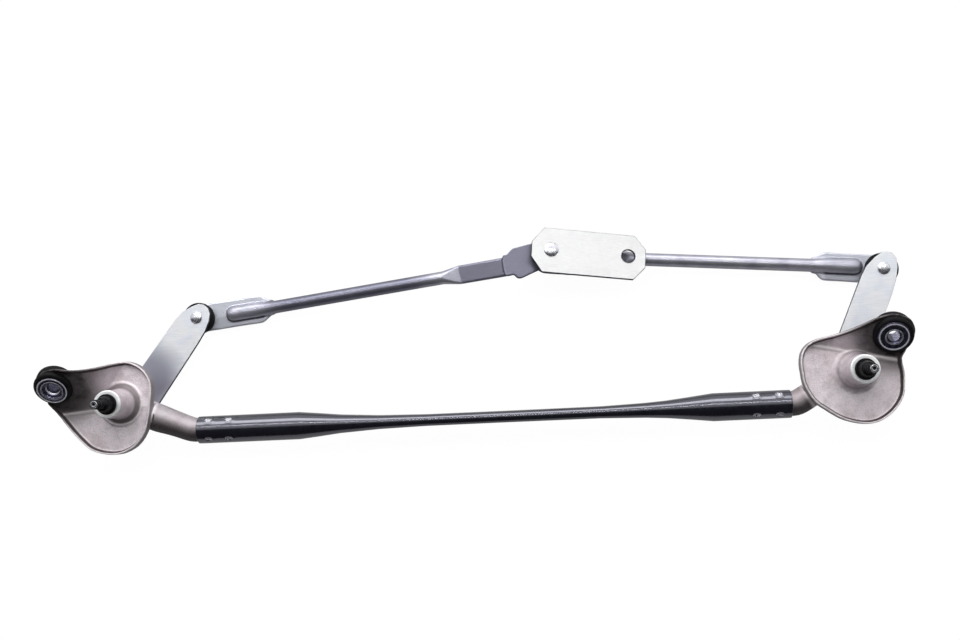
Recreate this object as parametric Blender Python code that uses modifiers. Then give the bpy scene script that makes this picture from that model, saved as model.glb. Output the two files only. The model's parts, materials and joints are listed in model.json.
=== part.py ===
"""Twin-pivot wiper linkage, lying at rest on its two shaft ends and one ball socket, in metres with Z up.

Everything is modelled in the frame of the linkage: X along the frame tube, Y towards the link
rods, Z along the pivot shafts, origin midway between the two shafts at the height of the tube.
One empty at the top of the tree then leans the whole linkage to the way it lies on a floor.
"""

import math

import bmesh
import bpy
from mathutils import Matrix, Vector

for old in list(bpy.data.objects):
    bpy.data.objects.remove(old, do_unlink=True)

# Driving dimensions in metres. Angles are in degrees.
mm = 0.001
fit_gap = 0.0003
round_steps = 16
housing_steps = 20

# Frame: the shafts and the tube between the two pivot housings
pivot_spacing = 0.661
tube_line_y = -0.0273
tube_radius = 0.0125
tube_wall = 0.0016
tube_left_end = -0.262
tube_right_end = 0.275
tube_flat_width = 0.0102
crimp_radius = 0.0026
crimp_depth = 0.0011
crimp_rise = 0.0088

# Pivot shaft, bushes and the rings round it
shaft_radius = 0.0075
shaft_thread_radius = 0.004
shaft_tip_z = 0.0745
shaft_thread_z = 0.0570
shaft_knurl_z = 0.0488
shaft_knurl_radius = 0.0060
shaft_stub_radius = 0.0060
shaft_head_radius = 0.0082
shaft_end_z = -0.0295
bush_wall = 0.0017
bush_length = 0.0150
boss_top_z = 0.0452
boss_bottom_z = -0.0200
boss_wall = 0.0031
cap_washer_thickness = 0.0010
thrust_washer_radius = 0.0120

# Die-cast pivot housings
disc_floor_z = 0.0140
disc_floor_thickness = 0.0035
rim_height = 0.0055
rim_wall = 0.0022
skirt_depth = 0.0050
left_seat_x = -54.0
left_seat_y = 18.3
right_seat_x = 30.2
right_seat_y = 29.4
left_ear_tilt = 38.0
right_ear_tilt = 30.0
spigot_radius = 0.0113
spigot_depth = 0.0270
spot_face = 0.0002
rib_thickness = 0.0026

# Rubber grommets and their steel sleeves
grommet_radius = 0.0173
grommet_front = 0.0050
grommet_back = 0.0080
grommet_hole_radius = 0.0112
grommet_seat_radius = 0.0190
sleeve_radius = 0.0073
sleeve_bore_radius = 0.0056
sleeve_flange_radius = 0.0136
sleeve_flange_thickness = 0.0012

# Crank arms on the shafts
crank_length = 0.0993
crank_thickness = 0.0040
crank_half_width = 0.0158
left_crank_hub = (0.0159, 0.0183)
right_crank_hub = (0.0169, 0.0147)
left_crank_reach = 0.0
right_crank_reach = 0.0014
crank_top_z = -0.0220
left_crank_angle = 37.7
right_crank_angle = 23.5
rivet_head_radius = 0.0057
rivet_head_height = 0.0021

# Ball joints
ball_radius = 0.0060
ball_drop = 0.0085
stud_neck_radius = 0.0034
stud_shank_radius = 0.0042
socket_radius = 0.0093
socket_flange_radius = 0.0115
socket_floor = 0.0014
socket_rise = 0.0045
boot_radius = 0.0150
boot_top_radius = 0.0134
open_play = 0.0036
open_widen = 0.0027
open_height_play = 0.0012
open_lift = 0.0010

# Link rods
rod_radius = 0.0061
eye_radius = 0.0133
eye_thickness = 0.0030
rod_flat_width = 0.0179
rod_flat_thickness = 0.0042
left_rod_slope = 0.07

# Drive crank plate: the leaning plate that takes the motor shaft
plate_thickness = 0.0040
plate_half_width = 0.0205
plate_low_half_width = 0.0217
plate_front = 0.0878
plate_back = 0.0182
plate_corner = 0.0140
plate_lean_x = 0.15
plate_lean_y = 0.15
motor_hole_radius = 0.0065
motor_hole_distance = 0.0715
second_ball_drop = 0.0138
plate_rivet_radius = 0.0068

# Positions that follow from the sizes above
left_pivot = Vector((-pivot_spacing / 2, 0.0, 0.0))
right_pivot = Vector((pivot_spacing / 2, 0.0, 0.0))
bush_inner = shaft_radius + fit_gap
bush_outer = bush_inner + bush_wall
bore_radius = bush_outer + fit_gap
boss_radius = bore_radius + boss_wall
crank_bottom_z = crank_top_z - crank_thickness
ball_z = crank_bottom_z - ball_drop


def crank_end(pivot, angle):
    """Centre of the ball at the end of a crank whose arm leans this far from +Y towards +X."""
    lean = math.radians(angle)
    return pivot + Vector((crank_length * math.sin(lean), crank_length * math.cos(lean), ball_z))


left_ball = crank_end(left_pivot, left_crank_angle)
right_ball = crank_end(right_pivot, right_crank_angle)
plate_rivet = Vector((0.0702, 0.1235, -0.0100))
plate_hole_point = Vector((0.1403, 0.1145, 0.0))
plate_normal = Vector((plate_lean_x, plate_lean_y, 1.0)).normalized()
plate_along = plate_hole_point - plate_rivet
plate_along.z = -(plate_along.x * plate_lean_x + plate_along.y * plate_lean_y)
plate_along.normalize()
plate_across = plate_normal.cross(plate_along)
plate_turn = Matrix((plate_along, plate_across, plate_normal)).transposed()
upper_ball = plate_rivet - plate_normal * (plate_thickness + ball_drop)
lower_ball = upper_ball - plate_normal * second_ball_drop

# Collections, and the empties that every sub-part hangs from
linkage = bpy.data.collections.new("wiper_linkage")
cutters = bpy.data.collections.new("cutters")
for collection in (linkage, cutters):
    bpy.context.scene.collection.children.link(collection)
cutters.hide_render = True


def axis_empty(name, point, parent):
    """An empty on a joint axis. Its location is measured from its parent's own point."""
    empty = bpy.data.objects.new(name, None)
    empty.empty_display_size = 0.02
    linkage.objects.link(empty)
    empty.parent = parent
    empty["point"] = tuple(point)
    start = Vector(parent["point"]) if parent else Vector((0.0, 0.0, 0.0))
    empty.location = point - start
    return empty


frame_axis = axis_empty("linkage_at_rest", Vector((0.0, 0.0, 0.0)), None)
left_crank_axis = axis_empty("left_crank_axis", left_pivot, frame_axis)
right_crank_axis = axis_empty("right_crank_axis", right_pivot, frame_axis)
left_rod_axis = axis_empty("left_rod_axis", left_ball, left_crank_axis)
right_rod_axis = axis_empty("right_rod_axis", right_ball, right_crank_axis)
drive_crank_axis = axis_empty("drive_crank_axis", upper_ball, left_rod_axis)


def material(name, colour, metallic, roughness):
    """A plain Principled material for one kind of surface."""
    made = bpy.data.materials.new(name)
    made.use_nodes = True
    made.diffuse_color = (*colour, 1.0)
    shader = made.node_tree.nodes["Principled BSDF"]
    shader.inputs["Base Color"].default_value = (*colour, 1.0)
    shader.inputs["Metallic"].default_value = metallic
    shader.inputs["Roughness"].default_value = roughness
    return made


def link(name, mesh):
    made = bpy.data.objects.new(name, mesh)
    linkage.objects.link(made)
    return made


def finish(made, parent, point, paint, turn=None):
    """Hangs a piece from its empty, at a point of the linkage, with its own material."""
    made.parent = parent
    placed = turn.to_4x4() if turn else Matrix.Identity(4)
    placed.translation = Vector(point) - Vector(parent["point"])
    made.matrix_basis = placed
    made.data.materials.clear()
    made.data.materials.append(material(made.name, *paint))
    made.data.shade_smooth()
    made.data.set_sharp_from_angle(angle=math.radians(32))
    return made


def turned(name, profile, steps=round_steps, ring=False):
    """A body of revolution. The profile lists radius and height, down the outer side."""
    mesh = bpy.data.meshes.new(name)
    points = [(r, 0.0, z) for r, z in profile]
    edges = [(i, i + 1) for i in range(len(points) - 1)]
    if ring:
        edges.append((len(points) - 1, 0))
    mesh.from_pydata(points, edges, [])
    made = link(name, mesh)
    screw = made.modifiers.new("turn", "SCREW")
    screw.steps = steps
    screw.render_steps = steps
    screw.use_merge_vertices = True
    screw.merge_threshold = 0.00001
    screw.use_smooth_shade = True
    return made


def to_mesh(made):
    """The same shape as a plain mesh in the frame of the linkage, for a curve or a cut piece."""
    bpy.context.view_layer.update()
    graph = bpy.context.evaluated_depsgraph_get()
    mesh = bpy.data.meshes.new_from_object(made.evaluated_get(graph))
    mesh.transform(made.matrix_world)
    shape = bmesh.new()
    shape.from_mesh(mesh)
    bmesh.ops.remove_doubles(shape, verts=shape.verts, dist=0.000001)
    bmesh.ops.recalc_face_normals(shape, faces=shape.faces)
    shape.to_mesh(mesh)
    shape.free()
    name = made.name
    bpy.data.objects.remove(made, do_unlink=True)
    mesh.name = name
    return link(name, mesh)


def flat(name, outline, thickness, holes=()):
    """A flat plate with round holes, centred on its own thickness."""
    curve = bpy.data.curves.new(name, "CURVE")
    curve.dimensions = "2D"
    curve.fill_mode = "BOTH"
    curve.extrude = thickness / 2
    loops = [outline]
    for (x, y), radius in holes:
        turns = [2 * math.pi * i / round_steps for i in range(round_steps)]
        loops.append([(x + radius * math.cos(a), y + radius * math.sin(a)) for a in turns])
    for loop in loops:
        spline = curve.splines.new("POLY")
        spline.points.add(len(loop) - 1)
        for spot, (x, y) in zip(spline.points, loop):
            spot.co = (x, y, 0.0, 1.0)
        spline.use_cyclic_u = True
    return to_mesh(link(name, curve))


def pipe(name, points, radii, sides=16):
    """A round bar along a path, with its own radius at each point."""
    curve = bpy.data.curves.new(name, "CURVE")
    curve.dimensions = "3D"
    curve.bevel_depth = 1.0
    curve.bevel_resolution = sides // 4 - 1
    curve.use_fill_caps = True
    spline = curve.splines.new("POLY")
    spline.points.add(len(points) - 1)
    for spot, (x, y, z), radius in zip(spline.points, points, radii):
        spot.co = (x, y, z, 1.0)
        spot.radius = radius
    return to_mesh(link(name, curve))


def ball(name, centre, radius):
    """A small round helper, used as a cutter."""
    mesh = bpy.data.meshes.new(name)
    shape = bmesh.new()
    bmesh.ops.create_uvsphere(shape, u_segments=6, v_segments=4, radius=radius)
    bmesh.ops.translate(shape, verts=shape.verts, vec=centre)
    shape.to_mesh(mesh)
    shape.free()
    return link(name, mesh)


def rod_cutter(name, point, axis, radius, low, high, steps=round_steps):
    """A round cutter along an axis, from low to high measured from the point."""
    made = turned(name, [(0.0, high), (radius, high), (radius, low), (0.0, low)], steps)
    turn = Vector((0.0, 0.0, 1.0)).rotation_difference(Vector(axis)).to_matrix().to_4x4()
    turn.translation = Vector(point)
    made.matrix_basis = turn
    return made


def keep_as_cutter(helper):
    linkage.objects.unlink(helper)
    cutters.objects.link(helper)
    helper.hide_render = True
    helper.display_type = "WIRE"


def boolean(target, helper, operation):
    """Cuts a helper from a piece, or joins it on, and files the helper with the cutters."""
    step = target.modifiers.new(helper.name, "BOOLEAN")
    step.operation = operation
    step.solver = "EXACT"
    step.object = helper
    keep_as_cutter(helper)


def cut(target, helper):
    boolean(target, helper, "DIFFERENCE")


def join(target, helper):
    boolean(target, helper, "UNION")


def keep(target, helper):
    boolean(target, helper, "INTERSECT")


def settle(made):
    """Works out the cuts of a piece, so that it can be placed as one plain mesh."""
    return to_mesh(made)


def without_slivers(made):
    """Keeps only the biggest body, where a round cutter frees a crumb of the rim."""
    shape = bmesh.new()
    shape.from_mesh(made.data)
    waiting = set(shape.verts)
    bodies = []
    while waiting:
        reached = [waiting.pop()]
        for vert in reached:
            for edge in vert.link_edges:
                other = edge.other_vert(vert)
                if other in waiting:
                    waiting.discard(other)
                    reached.append(other)
        bodies.append(reached)
    bodies.sort(key=len)
    for crumb in bodies[:-1]:
        bmesh.ops.delete(shape, geom=crumb, context="VERTS")
    shape.to_mesh(made.data)
    shape.free()
    return made


def moved_home(made, point):
    """Shifts the mesh so that the object's own origin is the given point."""
    made.data.transform(Matrix.Translation(-Vector(point)))
    return made


def loft(name, rings, closed):
    """A skin over a row of rings with the same number of points, open ones capped at both ends."""
    count = len(rings[0])
    points = [point for ring in rings for point in ring]
    rows = len(rings)
    faces = []
    for row in range(rows if closed else rows - 1):
        here = row * count
        there = ((row + 1) % rows) * count
        for i in range(count):
            j = (i + 1) % count
            faces.append((here + i, here + j, there + j, there + i))
    if not closed:
        faces.append(tuple(reversed(range(count))))
        faces.append(tuple(range((rows - 1) * count, rows * count)))
    mesh = bpy.data.meshes.new(name)
    mesh.from_pydata(points, [], faces)
    shape = bmesh.new()
    shape.from_mesh(mesh)
    bmesh.ops.remove_doubles(shape, verts=shape.verts, dist=0.000001)
    bmesh.ops.recalc_face_normals(shape, faces=shape.faces)
    shape.to_mesh(mesh)
    shape.free()
    return link(name, mesh)


def shrunk(points, distance):
    """The outline moved inwards by a distance. The points run anticlockwise."""
    made = []
    count = len(points)
    for i in range(count):
        here = Vector(points[i])
        first = (here - Vector(points[i - 1])).normalized()
        second = (Vector(points[(i + 1) % count]) - here).normalized()
        first_in = Vector((-first.y, first.x))
        second_in = Vector((-second.y, second.x))
        middle = (first_in + second_in).normalized()
        made.append(tuple(here + middle * distance / max(0.6, middle.dot(first_in))))
    return made


def anticlockwise(points):
    area = sum(a[0] * b[1] - b[0] * a[1] for a, b in zip(points, points[1:] + points[:1]))
    return points if area > 0 else list(reversed(points))


# Surfaces: colour, metallic, roughness
cast_paint = ((0.36, 0.32, 0.32), 0.75, 0.52)
coat_paint = ((0.018, 0.019, 0.030), 0.10, 0.25)
zinc_paint = ((0.72, 0.74, 0.77), 0.95, 0.28)
steel_paint = ((0.50, 0.51, 0.53), 0.95, 0.32)
dark_steel_paint = ((0.05, 0.05, 0.055), 0.80, 0.38)
bronze_paint = ((0.36, 0.25, 0.14), 0.85, 0.40)
rubber_paint = ((0.015, 0.015, 0.016), 0.0, 0.70)
socket_paint = ((0.035, 0.035, 0.038), 0.0, 0.45)

# Frame tube: round ends pressed flat between, with crimps over the spigots
tube_widths = [
    (tube_left_end / mm, 25.0),
    (-168.0, 25.0),
    (-149.0, 21.2),
    (-129.0, 16.8),
    (-93.0, 12.4),
    (-50.0, 10.4),
    (20.0, 10.2),
    (107.0, 10.5),
    (146.0, 13.0),
    (166.0, 15.6),
    (186.0, 20.0),
    (207.0, 25.0),
    (tube_right_end / mm, 25.0),
]


def stadium(x, width, height, sides=16):
    """A slot-shaped ring across the tube, taller than wide. Half a step keeps its sides flat."""
    radius = width / 2
    lift = max(0.0, (height - width) / 2)
    made = []
    for i in range(sides):
        angle = 2 * math.pi * (i + 0.5) / sides
        rise = radius * math.sin(angle)
        rise += math.copysign(lift, rise)
        made.append((x, tube_line_y + radius * math.cos(angle), rise))
    return made


def tube_width(listed):
    """Listed widths are for a full width of 25 mm and a pressed width of 10.2 mm."""
    share = (25.0 - listed) / (25.0 - 10.2)
    return 2 * tube_radius - share * (2 * tube_radius - tube_flat_width)


outer_rings = []
inner_rings = []
for station, listed in tube_widths:
    width = tube_width(listed)
    height = width + math.pi * (2 * tube_radius - width) / 2
    x = station * mm
    outer_rings.append(stadium(x, width, height))
    inner_rings.append(stadium(x, width - 2 * tube_wall, height - 2 * tube_wall))
tube = loft("frame_tube", outer_rings + list(reversed(inner_rings)), closed=True)
crimp_spots = [tube_left_end + 0.011, tube_left_end + 0.030, tube_right_end - 0.011]
crimp_spots.append(tube_right_end - 0.031)
crimps = []
for x in crimp_spots:
    for side in (-1, 1):
        for face in (-1, 1):
            rise = math.sqrt(tube_radius ** 2 - crimp_rise ** 2)
            out = Vector((0.0, side * crimp_rise, face * rise)).normalized()
            centre = out * (tube_radius + crimp_radius - crimp_depth)
            crimps.append(ball("crimp", centre + Vector((x, tube_line_y, 0.0)), crimp_radius))
crimp_mesh = bmesh.new()
for helper in crimps:
    crimp_mesh.from_mesh(helper.data)
    bpy.data.objects.remove(helper, do_unlink=True)
crimp_data = bpy.data.meshes.new("crimp_marks")
crimp_mesh.to_mesh(crimp_data)
crimp_mesh.free()
cut(tube, link("crimp_marks", crimp_data))
tube = settle(tube)
finish(tube, frame_axis, (0.0, 0.0, 0.0), coat_paint)

# Pivot housings, cast in one with disc, raised rim, tilted ear, bearing boss and spigot.
# Outlines are in millimetres from the shaft.
left_outline = [
    (4.0, 38.9), (10.5, 38.0), (16.2, 35.7), (21.2, 32.4), (24.9, 28.7), (29.4, 20.6),
    (30.6, 11.4), (29.4, 0.5), (27.6, -12.6), (23.8, -26.6), (15.4, -38.2), (3.6, -44.8),
    (-7.0, -46.3), (-16.4, -45.2), (-24.7, -42.5), (-32.0, -38.0), (-43.9, -25.6),
    (-52.2, -15.2), (-56.6, -9.0), (-60.0, -3.4), (-64.0, 3.4), (-67.2, 10.2),
    (-67.9, 18.0), (-66.4, 25.4), (-61.2, 31.2), (-53.6, 33.4), (-45.3, 33.8),
    (-38.0, 32.5), (-26.3, 32.2), (-15.3, 34.2), (-5.8, 37.0),
]
right_outline = [
    (-18.7, 31.4), (-25.7, 30.0), (-34.0, 28.0), (-41.7, 23.9), (-46.6, 17.0),
    (-48.3, 8.5), (-47.8, 0.0), (-46.1, -11.2), (-40.4, -22.8), (-35.0, -29.0),
    (-28.3, -33.9), (-22.1, -38.3), (-15.4, -42.3), (-8.0, -45.1), (0.0, -47.0),
    (8.4, -47.5), (16.6, -45.7), (24.0, -41.6), (30.3, -36.2), (35.4, -29.7),
    (38.8, -22.4), (39.9, -14.5), (40.2, -4.0), (38.4, 7.0), (39.6, 11.6), (42.0, 14.6),
    (47.2, 24.1), (48.6, 32.0), (44.4, 40.4), (37.0, 44.8), (28.0, 46.4), (16.5, 44.0),
    (4.8, 39.2), (-6.6, 34.9),
]


def fold(name, first, second, tilt, extra=None):
    """One fold of a housing: a plane that rises from the disc floor on the far side of a line."""
    start = Vector((first[0] * mm, first[1] * mm))
    along = (Vector((second[0] * mm, second[1] * mm)) - start).normalized()
    away = Vector((-along.y, along.x))
    return {"name": name, "start": start, "away": away, "slope": math.tan(math.radians(tilt))}


left_folds = [fold("ear", (-56.4, -8.1), (-20.2, -5.1), left_ear_tilt)]
left_limits = [fold("blend", (-20.2, -5.1), (0.7, 34.9), 52.0)]
right_folds = [fold("ear", (-34.9, 22.2), (37.0, 6.4), right_ear_tilt)]


def rise_at(folds, limits, x, y):
    """Height of the web above the disc floor: the ear plane, held down by the blend plane."""
    spot = Vector((x, y))
    heights = []
    for one in folds + limits:
        heights.append((spot - one["start"]).dot(one["away"]) * one["slope"])
    return max(0.0, min(heights))


def split_lines(folds, limits):
    """The straight lines along which the web changes slope, as point and across direction."""
    lines = [(one["start"], one["away"]) for one in folds + limits]
    if limits:
        ear, blend = folds[0], limits[0]
        across = ear["away"] * ear["slope"] - blend["away"] * blend["slope"]
        lines.append((blend["start"], across.normalized()))
    return lines


def folded(name, outline, low, high, folds, limits):
    """A prism over the outline whose floor and top both follow the folded web."""
    made = flat(name, outline, high - low)
    shape = bmesh.new()
    shape.from_mesh(made.data)
    for start, across in split_lines(folds, limits):
        everything = shape.verts[:] + shape.edges[:] + shape.faces[:]
        point = (start.x, start.y, 0.0)
        normal = (across.x, across.y, 0.0)
        bmesh.ops.bisect_plane(shape, geom=everything, plane_co=point, plane_no=normal, dist=1e-7)
    for vert in shape.verts:
        vert.co.z += (low + high) / 2 + disc_floor_z + rise_at(folds, limits, vert.co.x, vert.co.y)
    bmesh.ops.remove_doubles(shape, verts=shape.verts, dist=0.00001)
    bmesh.ops.triangulate(shape, faces=shape.faces)
    bmesh.ops.recalc_face_normals(shape, faces=shape.faces)
    shape.to_mesh(made.data)
    shape.free()
    return made


def ear_normal(folds):
    away = folds[0]["away"]
    slope = folds[0]["slope"]
    return Vector((-away.x * slope, -away.y * slope, 1.0)).normalized()


left_ear_normal = ear_normal(left_folds)
right_ear_normal = ear_normal(right_folds)


def on_ear(folds, x, y):
    """The point of the ear's upper face over a plan position in millimetres."""
    spot = Vector((x * mm, y * mm))
    height = (spot - folds[0]["start"]).dot(folds[0]["away"]) * folds[0]["slope"]
    return Vector((spot.x, spot.y, disc_floor_z + height))


left_grommet_seat = on_ear(left_folds, left_seat_x, left_seat_y) - left_ear_normal * spot_face
right_grommet_seat = on_ear(right_folds, right_seat_x, right_seat_y) - right_ear_normal * spot_face


def ear_thickness(normal):
    """Thickness of the ear between its two round spot faces, square to the ear."""
    return disc_floor_thickness * normal.z - 2 * spot_face


def boss(name, flare):
    """The bearing tube of a housing, wider where it leaves the disc floor."""
    outside = [(boss_radius - 0.0003, boss_top_z), (boss_radius + 0.0004, 0.0190 + flare / 2)]
    outside += [(boss_radius + 0.0016, 0.0172 + flare / 2), (boss_radius + 0.0036 + flare / 3, 0.0152)]
    outside += [(boss_radius + 0.0066 + flare / 2, disc_floor_z - 0.0004)]
    outside += [(boss_radius + 0.0060, disc_floor_z - 0.0030), (boss_radius + 0.0004, 0.0075)]
    outside += [(boss_radius - 0.0006, boss_bottom_z)]
    return turned(name, [(0.0, boss_top_z)] + outside + [(0.0, boss_bottom_z)], housing_steps)


def housing(name, pivot, outline, folds, limits, seat, normal, path, ribs, flare):
    """One pivot housing, built from its shaft outwards and then placed at its pivot."""
    edge = anticlockwise([(x * mm, y * mm) for x, y in outline])
    body = folded(name, edge, -skirt_depth, rim_height, folds, limits)
    inside = shrunk(edge, rim_wall)
    cut(body, folded(name + "_tray", inside, 0.0, 0.0300, folds, limits))
    under = folded(name + "_hollow", inside, -0.0300, -disc_floor_thickness, folds, limits)
    cut(body, under)
    for number, angle in enumerate(ribs):
        turn = math.radians(angle)
        reach = Vector((math.cos(turn), math.sin(turn)))
        side = Vector((-reach.y, reach.x)) * rib_thickness / 2
        corners = [reach * 0.010 + side, reach * 0.060 + side, reach * 0.060 - side]
        corners.append(reach * 0.010 - side)
        strip = [(corner.x, corner.y) for corner in corners]
        rib = flat(name + "_rib_%d" % number, strip, 0.030)
        keep(rib, folded(name + "_rib_limit_%d" % number, shrunk(edge, rim_wall / 2),
                         -skirt_depth + 0.0006, -disc_floor_thickness / 2, folds, limits))
        join(body, settle(rib))
    join(body, boss(name + "_boss", flare))
    spigot_points = [(x * mm - pivot.x, y * mm, z * mm) for x, y, z, wider in path]
    inner_radius = tube_radius - tube_wall - fit_gap
    radii = [spigot_radius + wider * mm for x, y, z, wider in path[:-2]] + [inner_radius] * 2
    join(body, pipe(name + "_spigot", spigot_points, radii))
    cut(body, rod_cutter(name + "_bore", (0, 0, 0), (0, 0, 1), bore_radius, -0.06, 0.09,
                         housing_steps))
    cut(body, rod_cutter(name + "_ear_hole", seat, normal, grommet_hole_radius, -0.03, 0.03))
    cut(body, rod_cutter(name + "_ear_seat", seat, normal, grommet_seat_radius, 0.0, 0.03,
                         housing_steps))
    under = -ear_thickness(normal)
    back = rod_cutter(name + "_ear_back", seat, normal, grommet_seat_radius, -0.03, under,
                      housing_steps)
    cut(body, back)
    body = without_slivers(settle(body))
    finish(body, frame_axis, pivot, cast_paint)
    return body


left_mouth = tube_left_end / mm
right_mouth = tube_right_end / mm
left_path = [
    (-324.5, -2.0, 1.5, 0.6), (-309.0, -10.6, 1.5, 1.4), (-299.4, -14.8, 1.0, 1.7),
    (-290.0, -18.2, 0.5, 0.8), (-280.6, -21.8, 0.2, 0.2), (-272.5, -25.2, 0.0, 0.0),
    (left_mouth - 4.0, -27.3, 0.0, 0.0), (left_mouth - 0.6, -27.3, 0.0, 0.0),
    (left_mouth - 0.3, -27.3, 0.0, 0.0), (left_mouth + spigot_depth / mm, -27.3, 0.0, 0.0),
]
right_path = [
    (324.5, -2.0, 1.5, 0.0), (309.0, -10.5, 1.5, 0.0), (301.0, -15.0, 1.2, 0.0),
    (294.2, -18.9, 0.8, 0.0), (288.0, -22.6, 0.4, 0.0), (283.5, -25.4, 0.1, 0.0),
    (right_mouth + 4.0, -27.3, 0.0, 0.0), (right_mouth + 0.6, -27.3, 0.0, 0.0),
    (right_mouth + 0.3, -27.3, 0.0, 0.0), (right_mouth - spigot_depth / mm, -27.3, 0.0, 0.0),
]
left_ribs = [150.0, 205.0, 262.0, 48.0]
right_ribs = [60.0, 150.0, 250.0, 330.0]
left_housing = housing("left_pivot_housing", left_pivot, left_outline, left_folds, left_limits,
                       left_grommet_seat, left_ear_normal, left_path, left_ribs, 0.0)
right_housing = housing("right_pivot_housing", right_pivot, right_outline, right_folds, [],
                        right_grommet_seat, right_ear_normal, right_path, right_ribs, 0.0040)

# Grommets and sleeves lie along the normal of their ear
def grommet(name, pivot, seat, normal):
    thick = ear_thickness(normal)
    top = grommet_front + fit_gap
    bottom = -thick - fit_gap - grommet_back
    neck = grommet_hole_radius - fit_gap
    bore = sleeve_radius + fit_gap
    profile = [
        (bore, top), (grommet_radius - 0.0015, top), (grommet_radius, top - 0.0015),
        (grommet_radius, fit_gap), (neck, fit_gap), (neck, -thick - fit_gap),
        (grommet_radius, -thick - fit_gap), (grommet_radius, bottom), (bore, bottom),
    ]
    turn = Vector((0.0, 0.0, 1.0)).rotation_difference(normal).to_matrix()
    made = turned(name, profile, housing_steps, ring=True)
    finish(made, frame_axis, pivot + seat, rubber_paint, turn)
    return top, bottom


def sleeve(name, pivot, seat, normal, top, bottom):
    """A steel tube through the grommet with a wide flange on the front."""
    low = bottom - 0.0005
    under = top + fit_gap
    high = under + sleeve_flange_thickness
    profile = [
        (sleeve_bore_radius, high), (sleeve_flange_radius, high), (sleeve_flange_radius, under),
        (sleeve_radius, under), (sleeve_radius, low), (sleeve_bore_radius, low),
    ]
    turn = Vector((0.0, 0.0, 1.0)).rotation_difference(normal).to_matrix()
    finish(turned(name, profile, ring=True), frame_axis, pivot + seat, steel_paint, turn)


for side, pivot, seat, normal in (
    ("left", left_pivot, left_grommet_seat, left_ear_normal),
    ("right", right_pivot, right_grommet_seat, right_ear_normal),
):
    face, back = grommet(side + "_grommet", pivot, seat, normal)
    sleeve(side + "_sleeve", pivot, seat, normal, face, back)


def ring_profile(inner, outer, low, high):
    return [(inner, high), (outer, high), (outer, low), (inner, low)]


def ring(name, parent, pivot, inner, outer, low, high, paint):
    """A plain ring round a shaft, between two heights."""
    profile = ring_profile(inner, outer, low, high)
    finish(turned(name, profile, ring=True), parent, pivot, paint)


# Shafts, bushes, washers and crank arms, the same on both sides
shaft_shoulder_z = crank_top_z + fit_gap
stub_low_z = crank_bottom_z - fit_gap
shaft_profile = [
    (0.0, shaft_tip_z), (shaft_thread_radius - 0.0008, shaft_tip_z),
    (shaft_thread_radius, shaft_tip_z - 0.0008), (shaft_thread_radius, shaft_thread_z + 0.0004),
    (shaft_knurl_radius - 0.0003, shaft_thread_z), (shaft_knurl_radius, shaft_thread_z - 0.0003),
    (shaft_radius - 0.0001, shaft_knurl_z), (shaft_radius, shaft_knurl_z - 0.0004),
    (shaft_radius, shaft_shoulder_z), (shaft_stub_radius, shaft_shoulder_z),
    (shaft_stub_radius, stub_low_z), (shaft_head_radius, stub_low_z),
    (shaft_head_radius, shaft_end_z + 0.0010), (shaft_head_radius - 0.0012, shaft_end_z),
    (0.0, shaft_end_z),
]
stub_hole = shaft_stub_radius + fit_gap
stud_hole = stud_shank_radius + fit_gap
crank_tip = [
    (85.0, -1.0), (96.0, -0.92), (105.5, -0.64), (111.5, -0.38), (113.7, -0.08),
    (113.4, 0.24), (110.4, 0.52), (104.0, 0.74), (94.0, 0.90), (80.0, 0.97),
]


def crank_outline(hub, reach):
    """The arm from its round hub to the long-chamfered tip, as along and across the arm.

    The hub holds the widths to the left and to the right of the arm's middle line."""
    middle = (hub[1] - hub[0]) / 2
    radius = (hub[1] + hub[0]) / 2
    made = []
    for k in range(11):
        angle = math.radians(90 + 18 * k)
        made.append((radius * math.cos(angle), middle + radius * math.sin(angle)))
    for along, across in crank_tip:
        further = reach * max(0.0, min(1.0, (along - 96.0) / 14.0))
        shift = min(0.0, middle) * 0.6
        spread = across * crank_half_width + shift
        made.append((along / 99.3 * crank_length + further, spread))
    return made


def crank(side, pivot, angle, hub, reach, parent):
    """The arm lies under the housing. Its long side points at the ball stud."""
    lean = math.radians(90.0 - angle)
    outline = []
    for along, across in crank_outline(hub, reach):
        x = along * math.cos(lean) + across * math.sin(lean)
        y = along * math.sin(lean) - across * math.cos(lean)
        outline.append((x, y))
    tip = (crank_length * math.cos(lean), crank_length * math.sin(lean))
    holes = [((0.0, 0.0), stub_hole), (tip, stud_hole)]
    arm = flat(side + "_crank_arm", anticlockwise(outline), crank_thickness, holes)
    middle = (crank_top_z + crank_bottom_z) / 2
    finish(arm, parent, pivot + Vector((0.0, 0.0, middle)), zinc_paint)


def stud_profile(head_radius, head_height, plate, drop, second=None):
    """A ball stud riveted in a plate. Heights run from the plate's upper face."""
    top = fit_gap
    made = [(0.0, head_height), (head_radius * 0.50, head_height * 0.94),
            (head_radius * 0.82, head_height * 0.66), (head_radius, top + 0.0002),
            (head_radius - 0.0003, top), (stud_shank_radius, top)]
    under = -plate - fit_gap
    made += [(stud_shank_radius, under), (stud_neck_radius + 0.0022, under)]
    made += [(stud_neck_radius + 0.0022, under - 0.0006), (stud_neck_radius, under - 0.0012)]
    centres = [-plate - drop]
    if second:
        centres.append(-plate - drop - second)
    meet = math.degrees(math.asin(stud_neck_radius / ball_radius))
    for number, centre in enumerate(centres):
        last = number == len(centres) - 1
        end = 180.0 - meet if not last else 180.0
        for k in range(7):
            turn = math.radians(meet + (end - meet) * k / 6)
            radius = ball_radius * math.sin(turn) if k < 6 or not last else 0.0
            made.append((radius, centre + ball_radius * math.cos(turn)))
    return made


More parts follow.
